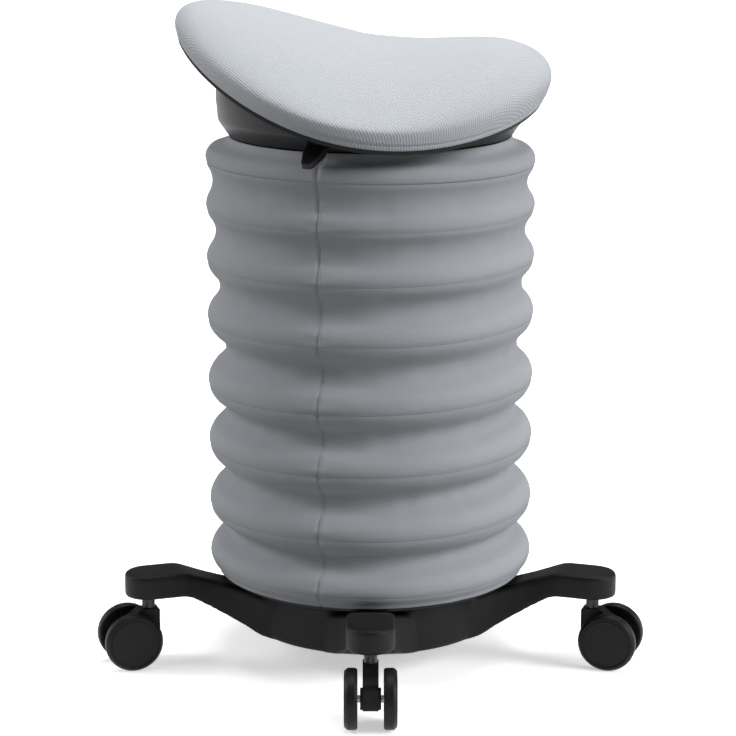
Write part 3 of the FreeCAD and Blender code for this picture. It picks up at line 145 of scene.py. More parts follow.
class Shading:
    """One material and its node tree."""

    def __init__(self, name: str) -> None:
        """Starts an empty material.

        Args:
            name: The material's name.
        """
        self.material = bpy.data.materials.new(name)
        self.material.use_nodes = True
        self.tree = self.material.node_tree
        self.tree.nodes.clear()

    def node(self, kind: str, settings: dict[str, Any], inputs: dict[Any, Any]) -> bpy.types.Node:
        """Adds any node.

        Args:
            kind: The node's type.
            settings: Its settings, set first. "stops" gives a ramp's stops as (place, colour) pairs.
            inputs: Values or links for its sockets, by name or number.

        Returns:
            The node.
        """
        made = self.tree.nodes.new(kind)
        for key, value in settings.items():
            if key == "stops":
                self.set_stops(made, value)
            else:
                setattr(made, key, value)
        for key, value in inputs.items():
            socket = made.inputs[key]
            link = value.socket if isinstance(value, Value) else value
            if isinstance(link, bpy.types.NodeSocket):
                self.tree.links.new(link, socket)
            else:
                socket.default_value = value
        return made

    @staticmethod
    def set_stops(ramp: bpy.types.Node, stops: Sequence[tuple[float, Sequence[float]]]) -> None:
        """Sets a colour ramp's stops.

        Args:
            ramp: The ramp's node.
            stops: Places and colours.
        """
        elements = ramp.color_ramp.elements
        while len(elements) > len(stops):
            elements.remove(elements[-1])
        while len(elements) < len(stops):
            elements.new(1.0)
        for element, (place, colour) in zip(elements, stops):
            element.position = place
            element.color = (*colour, 1.0)

    def maths(self, operation: str, *operands: Any) -> Value:
        """Adds a Math node.

        Args:
            operation: The node's operation.
            operands: Values or numbers.

        Returns:
            The node's result.
        """
        made = self.node("ShaderNodeMath", {"operation": operation}, dict(enumerate(operands)))
        return Value(self, made.outputs[0])

    def place(self, source: str = "Object") -> bpy.types.NodeSocket:
        """The point being shaded.

        Args:
            source: Which of the Texture Coordinate node's outputs to read.

        Returns:
            The coordinates' socket.
        """
        return self.node("ShaderNodeTexCoord", {}, {}).outputs[source]

    def parts(self, vector: bpy.types.NodeSocket) -> tuple[Value, Value, Value]:
        """The three components of a vector."""
        made = self.node("ShaderNodeSeparateXYZ", {}, {0: vector})
        return Value(self, made.outputs[0]), Value(self, made.outputs[1]), Value(self, made.outputs[2])

    def grain(self, scale: float, detail: float = 3.0, vector: bpy.types.NodeSocket | None = None) -> Value:
        """Noise between about 0 and 1.

        Args:
            scale: How many features per metre.
            detail: The noise's octaves.
            vector: The coordinates, or the object's own if none are given.

        Returns:
            The noise.
        """
        made = self.node("ShaderNodeTexNoise", {}, {
            "Vector": vector or self.place(), "Scale": scale, "Detail": detail, "Roughness": 0.55})
        return Value(self, made.outputs["Fac"])

    @staticmethod
    def rgba(colour: Any) -> Any:
        """A colour with its alpha, or a link as it is."""
        return colour if isinstance(colour, bpy.types.NodeSocket) else (*colour, 1.0)

    def mixed(self, factor: Any, first: Any, second: Any) -> bpy.types.NodeSocket:
        """A colour between two colours.

        Args:
            factor: 0 gives the first colour, 1 the second.
            first: A colour or a link.
            second: A colour or a link.

        Returns:
            The mixed colour's socket.
        """
        made = self.node("ShaderNodeMix", {"data_type": "RGBA"},
                         {0: factor, 6: self.rgba(first), 7: self.rgba(second)})
        return made.outputs[2]

    def bumped(self, height: Value, depth: float,
               below: bpy.types.NodeSocket | None = None) -> bpy.types.NodeSocket:
        """A normal from a height pattern.

        Args:
            height: The pattern, 0 to 1.
            depth: The height in metres between 0 and 1.
            below: A coarser normal that this one lies on.

        Returns:
            The normal's socket.
        """
        inputs: dict[Any, Any] = {"Height": height, "Distance": depth, "Strength": 1.0}
        if below is not None:
            inputs["Normal"] = below
        return self.node("ShaderNodeBump", {}, inputs).outputs[0]

    def finish(self, colour: Any, roughness: Any, normal: bpy.types.NodeSocket | None = None,
               constants: dict[str, Any] | None = None) -> bpy.types.Material:
        """Closes the tree with one shader.

        Args:
            colour: Base colour, a colour or a link.
            roughness: Roughness, a number or a value.
            normal: The normal's link.
            constants: Numbers or colours for the shader's other sockets.

        Returns:
            The material.
        """
        inputs: dict[Any, Any] = dict(constants or {})
        inputs["Base Color"] = self.rgba(colour)
        inputs["Roughness"] = roughness
        if normal is not None:
            inputs["Normal"] = normal
        shader = self.node("ShaderNodeBsdfPrincipled", {}, inputs)
        self.node("ShaderNodeOutputMaterial", {}, {"Surface": shader.outputs[0]})
        return self.material


# Finishes

def tinted(colour: Sequence[float], factor: float) -> tuple[float, float, float]:
    """A colour made lighter or darker.

    Args:
        colour: The colour.
        factor: The factor on each channel.

    Returns:
        The new colour.
    """
    return tuple(min(1.0, channel * factor) for channel in colour)


@dataclass(frozen=True)
class MouldedPlastic:
    """Moulded plastic with a fine spark-eroded grain and faint handling marks."""

    name: str
    colour: tuple[float, float, float]
    roughness: float = 0.5
    grain_scale: float = 1400.0
    grain_depth: float = 0.00006

    def material(self) -> bpy.types.Material:
        """Builds the material."""
        shading = Shading(self.name)
        fine = shading.grain(self.grain_scale, 2.0)
        broad = shading.grain(26.0, 4.0)
        rubbed = shading.grain(9.0, 6.0).between(0.5, 0.72)
        colour = shading.mixed(broad, tinted(self.colour, 0.8), tinted(self.colour, 1.25))
        colour = shading.mixed(rubbed * 0.35, colour, tinted(self.colour, 1.7))
        roughness = self.roughness - 0.07 + broad * 0.1 + fine * 0.08
        normal = shading.bumped(fine, self.grain_depth)
        return shading.finish(colour, roughness, normal, {"Specular IOR Level": 0.2})


class Metal(Enum):
    """Metals of the hidden mechanism, with their colours."""

    ZINC = (0.5, 0.51, 0.53)
    CHROME = (0.62, 0.63, 0.65)
    BRONZE = (0.46, 0.3, 0.13)
    SPRING = (0.09, 0.09, 0.1)


@dataclass(frozen=True)
class BareMetal:
    """Turned or plated metal with fine tool marks."""

    name: str
    metal: Metal
    roughness: float = 0.32
    marks: float = 900.0

    def material(self) -> bpy.types.Material:
        """Builds the material."""
        shading = Shading(self.name)
        stretched = shading.node("ShaderNodeMapping", {}, {
            "Vector": shading.place(), "Scale": (1.0, 1.0, 9.0)}).outputs[0]
        marks = shading.grain(self.marks / 9.0, 3.0, stretched)
        stain = shading.grain(40.0, 5.0)
        colour = shading.mixed(stain, tinted(self.metal.value, 0.82), tinted(self.metal.value, 1.1))
        roughness = self.roughness + marks * 0.12 + stain * 0.08
        normal = shading.bumped(marks, 0.00003)
        return shading.finish(colour, roughness, normal, {"Metallic": 1.0})


@dataclass(frozen=True)
class PowderCoat:
    """Black powder coat on steel, with its orange peel."""

    name: str
    colour: tuple[float, float, float]

    def material(self) -> bpy.types.Material:
        """Builds the material."""
        shading = Shading(self.name)
        peel = shading.grain(420.0, 2.0)
        broad = shading.grain(30.0, 4.0)
        colour = shading.mixed(broad, tinted(self.colour, 0.85), tinted(self.colour, 1.3))
        normal = shading.bumped(peel, 0.00008)
        return shading.finish(colour, 0.34 + broad * 0.14, normal,
                              {"Coat Weight": 0.1, "Coat Roughness": 0.3})


@dataclass(frozen=True)
class SpacerMesh:
    """Knitted spacer fabric of the seat, with a staggered pattern of small dimples."""

    name: str
    colour: tuple[float, float, float]
    pitch: float = 0.0036
    depth: float = 0.00035

    def material(self) -> bpy.types.Material:
        """Builds the material."""
        shading = Shading(self.name)
        surface = shading.place("UV")
        along, across, _ = shading.parts(surface)
        turn = 2 * math.pi / self.pitch
        dimple = ((along * turn).sine() * (across * turn).sine() + 1.0) * 0.5
        dimple = dimple.between(0.15, 0.95)
        yarn = shading.grain(2600.0, 2.0)
        broad = shading.grain(14.0, 3.0)
        colour = shading.mixed(dimple, tinted(self.colour, 0.88), tinted(self.colour, 1.03))
        colour = shading.mixed(broad * 0.22, colour, tinted(self.colour, 0.9))
        relief = dimple * 0.8 + yarn * 0.2
        normal = shading.bumped(relief, self.depth)
        return shading.finish(colour, 0.78 + yarn * 0.15, normal, {
            "Sheen Weight": 0.22, "Sheen Roughness": 0.45, "Specular IOR Level": 0.3})


@dataclass(frozen=True)
class SleeveCloth:
    """Plain woven stretch cloth of the sleeve. Its weave runs round and up the sleeve."""

    name: str
    colour: tuple[float, float, float]
    pitch: float = 0.0011
    depth: float = 0.00016

    def material(self) -> bpy.types.Material:
        """Builds the material."""
        shading = Shading(self.name)
        around, up, _ = shading.parts(shading.place("UV"))
        turn = 2 * math.pi / self.pitch
        weave = (around * turn).sine() * (up * turn).sine() * 0.5 + 0.5
        slub = shading.grain(60.0, 5.0)
        broad = shading.grain(11.0, 4.0)
        colour = shading.mixed(weave, tinted(self.colour, 0.93), tinted(self.colour, 1.05))
        colour = shading.mixed(slub * 0.3, colour, tinted(self.colour, 0.85))
        colour = shading.mixed(broad.between(0.35, 0.75) * 0.18, colour, tinted(self.colour, 1.18))
        normal = shading.bumped(slub, 0.0005)
        normal = shading.bumped(weave, self.depth, normal)
        return shading.finish(colour, 0.82 + slub * 0.1, normal, {
            "Sheen Weight": 0.3, "Sheen Roughness": 0.4, "Specular IOR Level": 0.25})


@dataclass(frozen=True)
class RawFoam:
    """Open moulded foam."""

    name: str
    colour: tuple[float, float, float]

    def material(self) -> bpy.types.Material:
        """Builds the material."""
        shading = Shading(self.name)
        cells = shading.grain(900.0, 4.0)
        colour = shading.mixed(cells, tinted(self.colour, 0.8), self.colour)
        return shading.finish(colour, 0.9, shading.bumped(cells, 0.0004))


@dataclass(frozen=True)
class StudioPaint:
    """Plain pale paint of the studio, with some glow of its own."""

    name: str = "studio_floor"
    glow: float = 0.5

    def material(self) -> bpy.types.Material:
        """Builds the material."""
        shading = Shading(self.name)
        return shading.finish((0.93, 0.93, 0.93), 0.9, None, {
            "Specular IOR Level": 0.1, "Emission Color": WHITE, "Emission Strength": self.glow})


SLOT_FINISHES = {
    "black_nylon": MouldedPlastic("base_nylon", (0.0045, 0.0045, 0.0044), 0.5),
    # The bowl's charcoal plastic is given a colour darker than its own, as painted shade of the seat's
    # shadow over it.
    "charcoal_plastic": MouldedPlastic("bowl_plastic_painted_shade", (0.021, 0.022, 0.023), 0.42),
    "black_shell": MouldedPlastic("shell_plastic", (0.006, 0.006, 0.007), 0.5),
    "wheel_plastic": MouldedPlastic("wheel_plastic", (0.0045, 0.0045, 0.0045), 0.45),
    "guide_plastic": MouldedPlastic("guide_plastic", (0.6, 0.58, 0.53), 0.45),
    "plain_steel": BareMetal("zinc_plate", Metal.ZINC),
    "painted_steel": PowderCoat("frame_powder_coat", (0.02, 0.02, 0.021)),
    "cylinder_steel": BareMetal("cylinder_chrome", Metal.CHROME, 0.12),
    "bronze": BareMetal("bush_bronze", Metal.BRONZE, 0.4),
    "spring_steel": BareMetal("spring_steel", Metal.SPRING, 0.38),
    "seat_fabric": SpacerMesh("seat_fabric_knit", (0.52, 0.545, 0.58)),
    "seat_foam": RawFoam("seat_foam_cells", (0.72, 0.68, 0.55)),
    "sleeve_fabric": SleeveCloth("sleeve_fabric_weave", (0.4, 0.418, 0.448)),
}


class Finishes:
    """Every finish of the stool, made once and shared by its pieces."""

    def __init__(self) -> None:
        """Makes all the materials."""
        self.by_slot = {slot: finish.material() for slot, finish in SLOT_FINISHES.items()}

    def __getitem__(self, slot: str) -> bpy.types.Material:
        """The material of a slot."""
        return self.by_slot[slot]


# Mesh helpers

def to_piece(shape: bmesh.types.BMesh, name: str, material: bpy.types.Material) -> bpy.types.Object:
    """Makes an object of a bmesh, with smooth faces.

    Args:
        shape: The bmesh, which is freed.
        name: The piece's name.
        material: Its finish.

    Returns:
        The piece.
    """
    mesh = bpy.data.meshes.new(name)
    shape.to_mesh(mesh)
    shape.free()
    mesh.materials.append(material)
    piece = bpy.data.objects.new(name, mesh)
    bpy.context.scene.collection.objects.link(piece)
    mesh.polygons.foreach_set("use_smooth", [True] * len(mesh.polygons))
    return piece


def sharpen(piece: bpy.types.Object, degrees: float) -> None:
    """Marks the edges of a piece that turn by more than an angle as sharp.

    Args:
        piece: The piece.
        degrees: The angle.
    """
    piece.data.set_sharp_from_angle(angle=math.radians(degrees))


def apply_modifiers(piece: bpy.types.Object) -> None:
    """Puts a piece's modifiers into its mesh."""
    graph = bpy.context.evaluated_depsgraph_get()
    made = bpy.data.meshes.new_from_object(piece.evaluated_get(graph))
    piece.modifiers.clear()
    old = piece.data
    piece.data = made
    bpy.data.meshes.remove(old)


def spun_profile(points: Sequence[tuple[float, float]], steps: int) -> bmesh.types.BMesh:
    """Turns a closed profile of (radius, z) points about the Z axis.

    Args:
        points: The profile. A point at radius 0 makes a pole.
        steps: How many steps the turn takes.

    Returns:
        The solid's bmesh.
    """
    shape = bmesh.new()
    ring = [shape.verts.new((radius, 0.0, z)) for radius, z in points]
    edges = [shape.edges.new((ring[i], ring[(i + 1) % len(ring)])) for i in range(len(ring))]
    bmesh.ops.spin(shape, geom=ring + edges, cent=(0, 0, 0), axis=(0, 0, 1), dvec=(0, 0, 0),
                   angle=2 * math.pi, steps=steps, use_merge=True, use_duplicate=False)
    bmesh.ops.remove_doubles(shape, verts=shape.verts, dist=1e-6)
    bmesh.ops.dissolve_degenerate(shape, edges=shape.edges, dist=1e-7)
    bmesh.ops.recalc_face_normals(shape, faces=shape.faces)
    return shape


def rounded_profile(corners: Sequence[tuple[float, float, float]],
                    steps: int = 4) -> list[tuple[float, float]]:
    """Rounds the corners of a closed profile.

    Args:
        corners: (radius, z, round) corners.
        steps: How many chords a rounded corner has.

    Returns:
        The profile's points.
    """
    points: list[tuple[float, float]] = []
    for i, (r, z, size) in enumerate(corners):
        corner = Vector((r, z))
        if size == 0:
            points.append((r, z))
            continue
        back = (Vector(corners[i - 1][:2]) - corner).normalized()
        ahead = (Vector(corners[(i + 1) % len(corners)][:2]) - corner).normalized()
        half = back.angle(ahead) / 2
        start = corner + back * (size / math.tan(half))
        middle = corner + (back + ahead).normalized() * (size / math.sin(half))
        for k in range(steps + 1):
            swing = (math.pi - 2 * half) * k / steps
            arm = start - middle
            turn = swing if back.cross(ahead) < 0 else -swing
            c, s = math.cos(turn), math.sin(turn)
            points.append((middle.x + c * arm.x - s * arm.y, middle.y + s * arm.x + c * arm.y))
    return points


def smoothstep(low: float, high: float, value: float) -> float:
    """Smooth step from 0 at low to 1 at high."""
    share = min(1.0, max(0.0, (value - low) / (high - low)))
    return share * share * (3 - 2 * share)


def centre_of(node: str) -> Vector:
    """Middle of a node's box."""
    low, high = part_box(node)
    return (low + high) / 2


# Sub-assemblies

@dataclass
class SaddleSeat:
    """The padded seat: a fabric-covered saddle on its black shell."""

    length: float = 0.312
    width: float = 0.310
    bulge: float = 0.005
    slope: float = math.radians(10.2)
    origin: Vector = field(default_factory=lambda: Vector((-0.008, 0.0, 0.513)))
    middle_radius: float = 0.215
    middle_half: float = 0.060
    flap_radius: float = 0.420
    crown_flap_radius: float = 0.760
    crown_fall: float = 1.17
    crown: float = 0.0265
    front_rise: float = 0.0175
    back_rise: float = 0.0065
    back_edge: float = 0.026
    front_edge: float = 0.040
    boxiness: float = 8.0
    seat_gap: float = 0.0004
    wall_share: float = 0.25
    lap: float = 0.0016
    lap_clearance: float = 0.0008
    welt: float = 0.0030
    around: int = 168
    rings: int = 84
    front_run: float = 0.130
    back_run: float = 0.110
    edge_share: float = 0.42
    held_height: float = 0.006
    rim_share: float = 0.9
    rim_hold: float = 0.35
    pressure: float = 4.0
    swell_frames: int = 20
    swell_cap: float = 0.004
    smoothing_passes: int = 4
    smoothed_above: float = 0.008
    seam_width: float = 0.0011
    seam_depth: float = 0.0007

    def arched(self, v: float, flap_radius: float) -> float:
        """Height of a saddle at v: an arc in the middle, and a flatter one down each flap.

        Args:
            v: The place across the seat.
            flap_radius: The radius of the flaps' arcs.

        Returns:
            The height in the seat's own frame.
        """
        turn = math.asin(self.middle_half / self.middle_radius)
        if abs(v) <= self.middle_half:
            return math.sqrt(self.middle_radius ** 2 - v * v) - self.middle_radius
        knee = -self.middle_radius * (1 - math.cos(turn))
        angle = math.asin(math.sin(turn) + (abs(v) - self.middle_half) / flap_radius)
        return knee - flap_radius * (math.cos(turn) - math.cos(angle))

    def saddle(self, v: float) -> float:
        """Height of the shell's top at v, in the seat's own frame."""
        return self.arched(v, self.flap_radius)

    def top(self, u: float, v: float) -> float:
        """Height of the cushion's top at a point, before its edge is rounded."""
        if u > 0:
            ridge = self.crown + self.front_rise * smoothstep(0, self.front_run, u) ** 1.3
        else:
            ridge = self.crown + self.back_rise * smoothstep(0, self.back_run, -u)
        return ridge + self.crown_fall * self.arched(v, self.crown_flap_radius)

    def edge(self, azimuth: float) -> float:
        """Height of the cushion's side wall in a direction. The front lip is the thickest."""
        forward = (1 + math.cos(azimuth)) / 2
        return self.back_edge + (self.front_edge - self.back_edge) * forward ** 2

    def settle(self, point: Vector) -> Vector:
        """Moves a point of the unit sphere to the cushion's surface, in the seat's own frame.

        Args:
            point: A point of the unit sphere.

        Returns:
            The point on the cushion.
        """
        azimuth = math.atan2(point.y, point.x)
        level = math.atan2(point.z, math.hypot(point.x, point.y))
        reach_u = self.length / 2 + self.bulge
        reach_v = self.width / 2 + self.bulge
        rim_v = self.width / 2 * math.sin(azimuth)
        rim_w = self.saddle(rim_v)
        edge_w = rim_w + self.edge_share * self.edge(azimuth)
        if level >= 0:
            share = math.cos(level)
            spread = share ** 0.7 if share > 0 else 0.0
            u = reach_u * spread * math.cos(azimuth)
            v = reach_v * spread * math.sin(azimuth)
            lift = math.sqrt(max(0.0, 1 - spread ** self.boxiness))
            return Vector((u, v, edge_w + (self.top(u, v) - edge_w) * lift))
        fall = -level / (math.pi / 2)
        if fall <= self.wall_share:
            down = fall / self.wall_share
            tuck = (self.bulge - self.lap_clearance) * down ** 2
            u = (reach_u - tuck) * math.cos(azimuth)
            v = (reach_v - tuck) * math.sin(azimuth)
            low = rim_w - self.lap
            return Vector((u, v, edge_w + (low - edge_w) * down))
        inward = 1 - (fall - self.wall_share) / (1 - self.wall_share)
        u = self.length / 2 * inward * math.cos(azimuth)
        v = self.width / 2 * inward * math.sin(azimuth)
        return Vector((u, v, self.saddle(v) + self.seat_gap))

    def placed(self) -> Matrix:
        """From the seat's own frame to the stool's."""
        return Matrix.Translation(self.origin) @ Matrix.Rotation(self.slope, 4, "Y")

    def blank(self) -> bmesh.types.BMesh:
        """The cushion as cut, before it is swelled: a sphere moved to the saddle."""
        shape = bmesh.new()
        bmesh.ops.create_uvsphere(shape, u_segments=self.around, v_segments=self.rings, radius=1.0)
        for vert in shape.verts:
            vert.co = self.settle(vert.co)
        bmesh.ops.recalc_face_normals(shape, faces=shape.faces)
        return shape

    def height_over_shell(self, co: Vector) -> float:
        """Height of a point over the shell's top."""
        return co.z - self.saddle(min(self.width / 2, abs(co.y)))

    def share_of_rim(self, co: Vector) -> float:
        """A point's distance from the middle, as a share of the rim's."""
        return math.hypot(co.x / (self.length / 2), co.y / (self.width / 2))

    def swell(self, piece: bpy.types.Object) -> None:
        """Swells the cushion as cloth under pressure, held along its rim.

        Args:
            piece: The cushion, in the seat's own frame.
        """
        rest = [vert.co.copy() for vert in piece.data.vertices]
        held = piece.vertex_groups.new(name="held")
        for index, co in enumerate(rest):
            if self.height_over_shell(co) < self.held_height:
                held.add([index], 1.0, "REPLACE")
            elif self.share_of_rim(co) > self.rim_share:
                held.add([index], self.rim_hold, "REPLACE")
        cloth = piece.modifiers.new("cloth", "CLOTH").settings
        cloth.use_pressure = True
        cloth.uniform_pressure_force = self.pressure
        cloth.vertex_group_mass = "held"
        cloth.effector_weights.gravity = 0.0
        cloth.quality = 6
        cloth.tension_stiffness = 25.0
        cloth.bending_stiffness = 3.0
        scene = bpy.context.scene
        for number in range(1, self.swell_frames + 1):
            scene.frame_set(number)
        graph = bpy.context.evaluated_depsgraph_get()
        moved = [vert.co.copy() for vert in piece.evaluated_get(graph).data.vertices]
        piece.modifiers.clear()
        scene.frame_set(1)
        for vert, before, after in zip(piece.data.vertices, rest, moved):
            step = after - before
            if step.length > self.swell_cap:
                step = step.normalized() * self.swell_cap
            vert.co = before + step
        piece.vertex_groups.clear()

    def smooth_and_seam(self, piece: bpy.types.Object) -> None:
        """Evens the cloth, then draws in the sewn line above the rim and lays out the fabric.

        Args:
            piece: The cushion, in the seat's own frame.
        """
        shape = bmesh.new()
        shape.from_mesh(piece.data)
        upper = [vert for vert in shape.verts if self.height_over_shell(vert.co) > self.smoothed_above]
        for _ in range(self.smoothing_passes):
            bmesh.ops.smooth_vert(shape, verts=upper, factor=0.5,
                                  use_axis_x=True, use_axis_y=True, use_axis_z=True)
        bmesh.ops.subdivide_edges(shape, edges=shape.edges, cuts=1, smooth=0.4, use_grid_fill=True)
        shape.normal_update()
        for vert in shape.verts:
            share = self.share_of_rim(vert.co)
            if share < self.rim_share:
                continue
            rim_w = self.saddle(min(self.width / 2, abs(vert.co.y) / share))
            off = (vert.co.z - rim_w - self.welt) / self.seam_width
            vert.co -= vert.normal * self.seam_depth * math.exp(-off * off)
        self.lay_out(shape)
        for face in shape.faces:
            face.smooth = True
        shape.to_mesh(piece.data)
        shape.free()

    def lay_out(self, shape: bmesh.types.BMesh) -> None:
        """Gives each corner its place on the flat fabric: direction from the middle, and length along it.

        Args:
            shape: The cushion's bmesh.
        """
        layer = shape.loops.layers.uv.new("fabric")
        for face in shape.faces:
            for loop in face.loops:
                co = loop.vert.co
                out = math.hypot(co.x, co.y)
                drop = max(0.0, self.top(co.x, co.y * 0.999) - co.z)
                stretch = 1 + (0.9 * drop + 0.18 * abs(co.y)) / max(out, 0.01)
                loop[layer].uv = (co.x * stretch, co.y * stretch)

    def build(self, finishes: Finishes) -> list[bpy.types.Object]:
        """Makes the cushion in place of the plain cover and foam.

        Args:
            finishes: The stool's finishes.

        Returns:
            The new pieces.
        """
        piece = to_piece(self.blank(), "seat_cushion", finishes["seat_fabric"])
        self.swell(piece)
        self.smooth_and_seam(piece)
        piece.data.transform(self.placed())
        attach(piece, "seat")
        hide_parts("seat_cover", "seat_foam")
        return [piece]


@dataclass
class BellowsSleeve:
    """The fabric sleeve: nine strips sewn to each other along the hoops' casings."""

    crest_radius: float = 0.1411
    cloth: float = 0.0011
    neck_radius: float = 0.1210
    neck_z: float = 0.4530
    hem_radius: float = 0.1340
    hem_z: float = 0.0722
    fold_depths: tuple[float, ...] = (0.017, 0.017, 0.016, 0.014, 0.011, 0.0085, 0.006)
    crest_shares: tuple[float, ...] = (0.68, 0.68, 0.65, 0.60, 0.55, 0.45, 0.45)
    hoop_leans: tuple[float, ...] = (0.0, 0.6, 0.9, 1.0, 0.8, 0.5, 0.0, -0.6)
    seam_azimuth: float = math.radians(-108.0)
    seam_lines: tuple[float, ...] = (-0.0065, -0.0034, -0.0009, 0.0, 0.0009, 0.0034, 0.0065)
    stitch_drop: float = 0.0035
    stitch_depth: float = 0.0005
    stitch_width: float = 0.0026
    end_share: float = 0.6
    fold_length: float = 1.15
    segments: int = 180
    rows: int = 24
    end_rows: int = 12

    def __post_init__(self) -> None:
        """Reads the hoops' heights from the frame, lowest first."""
        self.heights = [centre_of(f"hoop_{number}").z for number in range(HOOP_COUNT, 0, -1)]

    def crest_z(self, index: int, azimuth: float) -> float:
        """Height of a fold's crest in a direction. Each casing leans a little on its hoop.

        Args:
            index: The hoop, counted from the lowest.
            azimuth: The direction about the column.

        Returns:
            The height.
        """
        lean = math.radians(self.hoop_leans[index])
        return self.heights[index] + self.crest_radius * math.sin(lean) * math.cos(azimuth)

    def half_fold(self, gap: float, rise: float, depth: float, share: float) -> float:
        """How far the cloth lies inside its crest, on two arcs that meet.

        Args:
            gap: Height from the crest, from 0 to rise.
            rise: Height from the crest to the fold's low line.
            depth: How far the low line lies inside the crest.
            share: The crest arc's share of the two arcs.

        Returns:
            The distance inward.
        """
        turn = 2 * math.atan(depth / rise)
        both = rise / math.sin(turn)
        crest, hollow = both * share, both * (1 - share)
        if gap <= crest * math.sin(turn):
            return crest - math.sqrt(max(0.0, crest * crest - gap * gap))
        rest = max(0.0, rise - gap)
        return depth - (hollow - math.sqrt(max(0.0, hollow * hollow - rest * rest)))

    def radius(self, z: float, azimuth: float) -> float:
        """Radius of the cloth's outside at a height and in a direction.

        Args:
            z: The height.
            azimuth: The direction about the column.

        Returns:
            The radius.
        """
        crests = [self.crest_z(i, azimuth) for i in range(HOOP_COUNT)]
        pull = noise.noise(Vector((1.4 * math.cos(azimuth), 1.4 * math.sin(azimuth), z * 9)))
        if z <= crests[0]:
            depth = self.crest_radius - self.hem_radius
            inward = self.half_fold(crests[0] - z, crests[0] - self.hem_z, depth, self.end_share)
        elif z >= crests[-1]:
            depth = self.crest_radius - self.neck_radius
            inward = self.half_fold(z - crests[-1], self.neck_z - crests[-1], depth, self.end_share)
        else:
            index = max(i for i in range(HOOP_COUNT) if crests[i] <= z)
            index = min(index, HOOP_COUNT - 2)
            low, high = crests[index], crests[index + 1]
            depth = self.fold_depths[index] * (1 + 0.22 * pull)
            rise = (high - low) / 2
            gap = z - low if z - low <= rise else high - z
            inward = self.half_fold(gap, rise, depth, self.crest_shares[index])
        near = min(abs(z - crest) for crest in crests)
        slack = smoothstep(0.004, 0.018, near)
        ripple = noise.noise(Vector((9 * math.cos(azimuth), 9 * math.sin(azimuth), z * 26)))
        return self.crest_radius - inward + 0.0007 * slack * ripple - self.seam_dip(z, azimuth)

    def seam_dip(self, z: float, azimuth: float) -> float:
        """How far the upright seam draws the cloth in, with its small puckers.

        Args:
            z: The height.
            azimuth: The direction about the column.

        Returns:
            The distance inward.
        """
        away = math.remainder(azimuth - self.seam_azimuth, 2 * math.pi) * self.crest_radius
        groove = 0.0012 * math.exp(-(away / 0.0009) ** 2)
        ridge = 0.00045 * math.exp(-((abs(away) - 0.0034) / 0.0022) ** 2)
        pucker = 0.0004 * math.sin(z / 0.0105 * 2 * math.pi) * math.exp(-(away / 0.011) ** 2)
        return groove - ridge - pucker

    def stitch_dip(self, gap: float) -> float:
        """How far the sewn line under a casing draws the cloth in.

        Args:
            gap: Height from the line.

        Returns:
            The distance inward.
        """
        return self.stitch_depth * math.exp(-(gap / self.stitch_width) ** 2)

    def border(self, index: int, azimuth: float) -> float:
        """Height of the border between two strips: the sewn line under a hoop's casing.

        Args:
            index: 0 is the hem, 1 the lowest hoop's line, and the last the neck.
            azimuth: The direction about the column.

        Returns:
            The height.
        """
        if index == 0:
            return self.hem_z
        if index == HOOP_COUNT + 1:
            return self.neck_z
        return self.crest_z(index - 1, azimuth) - self.stitch_drop

    def strip(self, index: int) -> bmesh.types.BMesh:
        """One strip between two borders, laid round the column.

        Args:
            index: The strip, counted from the hem.

        Returns:
            The strip's bmesh.
        """
        shape = bmesh.new()
        rows = self.rows if 0 < index < HOOP_COUNT else self.end_rows
        line = [shape.verts.new((1.0, 0.0, self.eased(row / rows, index))) for row in range(rows + 1)]
        edges = [shape.edges.new(pair) for pair in zip(line, line[1:])]
        bmesh.ops.spin(shape, geom=line + edges, cent=(0, 0, 0), axis=(0, 0, 1), dvec=(0, 0, 0),
                       angle=2 * math.pi, steps=self.segments, use_merge=True, use_duplicate=False)
        bmesh.ops.remove_doubles(shape, verts=shape.verts, dist=1e-6)
        for offset in self.seam_lines:
            angle = self.seam_azimuth + offset / self.crest_radius
            across = Vector((-math.sin(angle), math.cos(angle), 0.0))
            bmesh.ops.bisect_plane(shape, geom=shape.verts[:] + shape.edges[:] + shape.faces[:],
                                   dist=1e-5, plane_co=(0, 0, 0), plane_no=across)
        for vert in shape.verts:
            azimuth = math.atan2(vert.co.y, vert.co.x)
            low, high = self.border(index, azimuth), self.border(index + 1, azimuth)
            z = low + (high - low) * vert.co.z
            out = self.radius(z, azimuth)
            if index > 0:
                out -= self.stitch_dip(z - low)
            if index < HOOP_COUNT:
                out -= self.stitch_dip(high - z)
            vert.co = Vector((out * math.cos(azimuth), out * math.sin(azimuth), z))
        bmesh.ops.recalc_face_normals(shape, faces=shape.faces)
        if sum(face.normal.dot(face.calc_center_median()) for face in shape.faces) < 0:
            bmesh.ops.reverse_faces(shape, faces=shape.faces)
        self.lay_out(shape)
        return shape

    def eased(self, share: float, index: int) -> float:
        """Closer rows near a strip's sewn borders.

        Args:
            share: Even share of the strip's height.
            index: The strip.

        Returns:
            The share with closer rows at both ends.
        """
        return share - 0.11 * math.sin(2 * math.pi * share) if 0 < index < HOOP_COUNT else share

    def lay_out(self, shape: bmesh.types.BMesh) -> None:
        """Gives each corner its place on the flat cloth: round the sleeve, and up it.

        Args:
            shape: The strip's bmesh.
        """
        layer = shape.loops.layers.uv.new("cloth")
        for face in shape.faces:
            middle = face.calc_center_median()
            facing = math.atan2(middle.y, middle.x)
            for loop in face.loops:
                co = loop.vert.co
                azimuth = facing + math.remainder(math.atan2(co.y, co.x) - facing, 2 * math.pi)
                loop[layer].uv = (azimuth * self.crest_radius, co.z * self.fold_length)

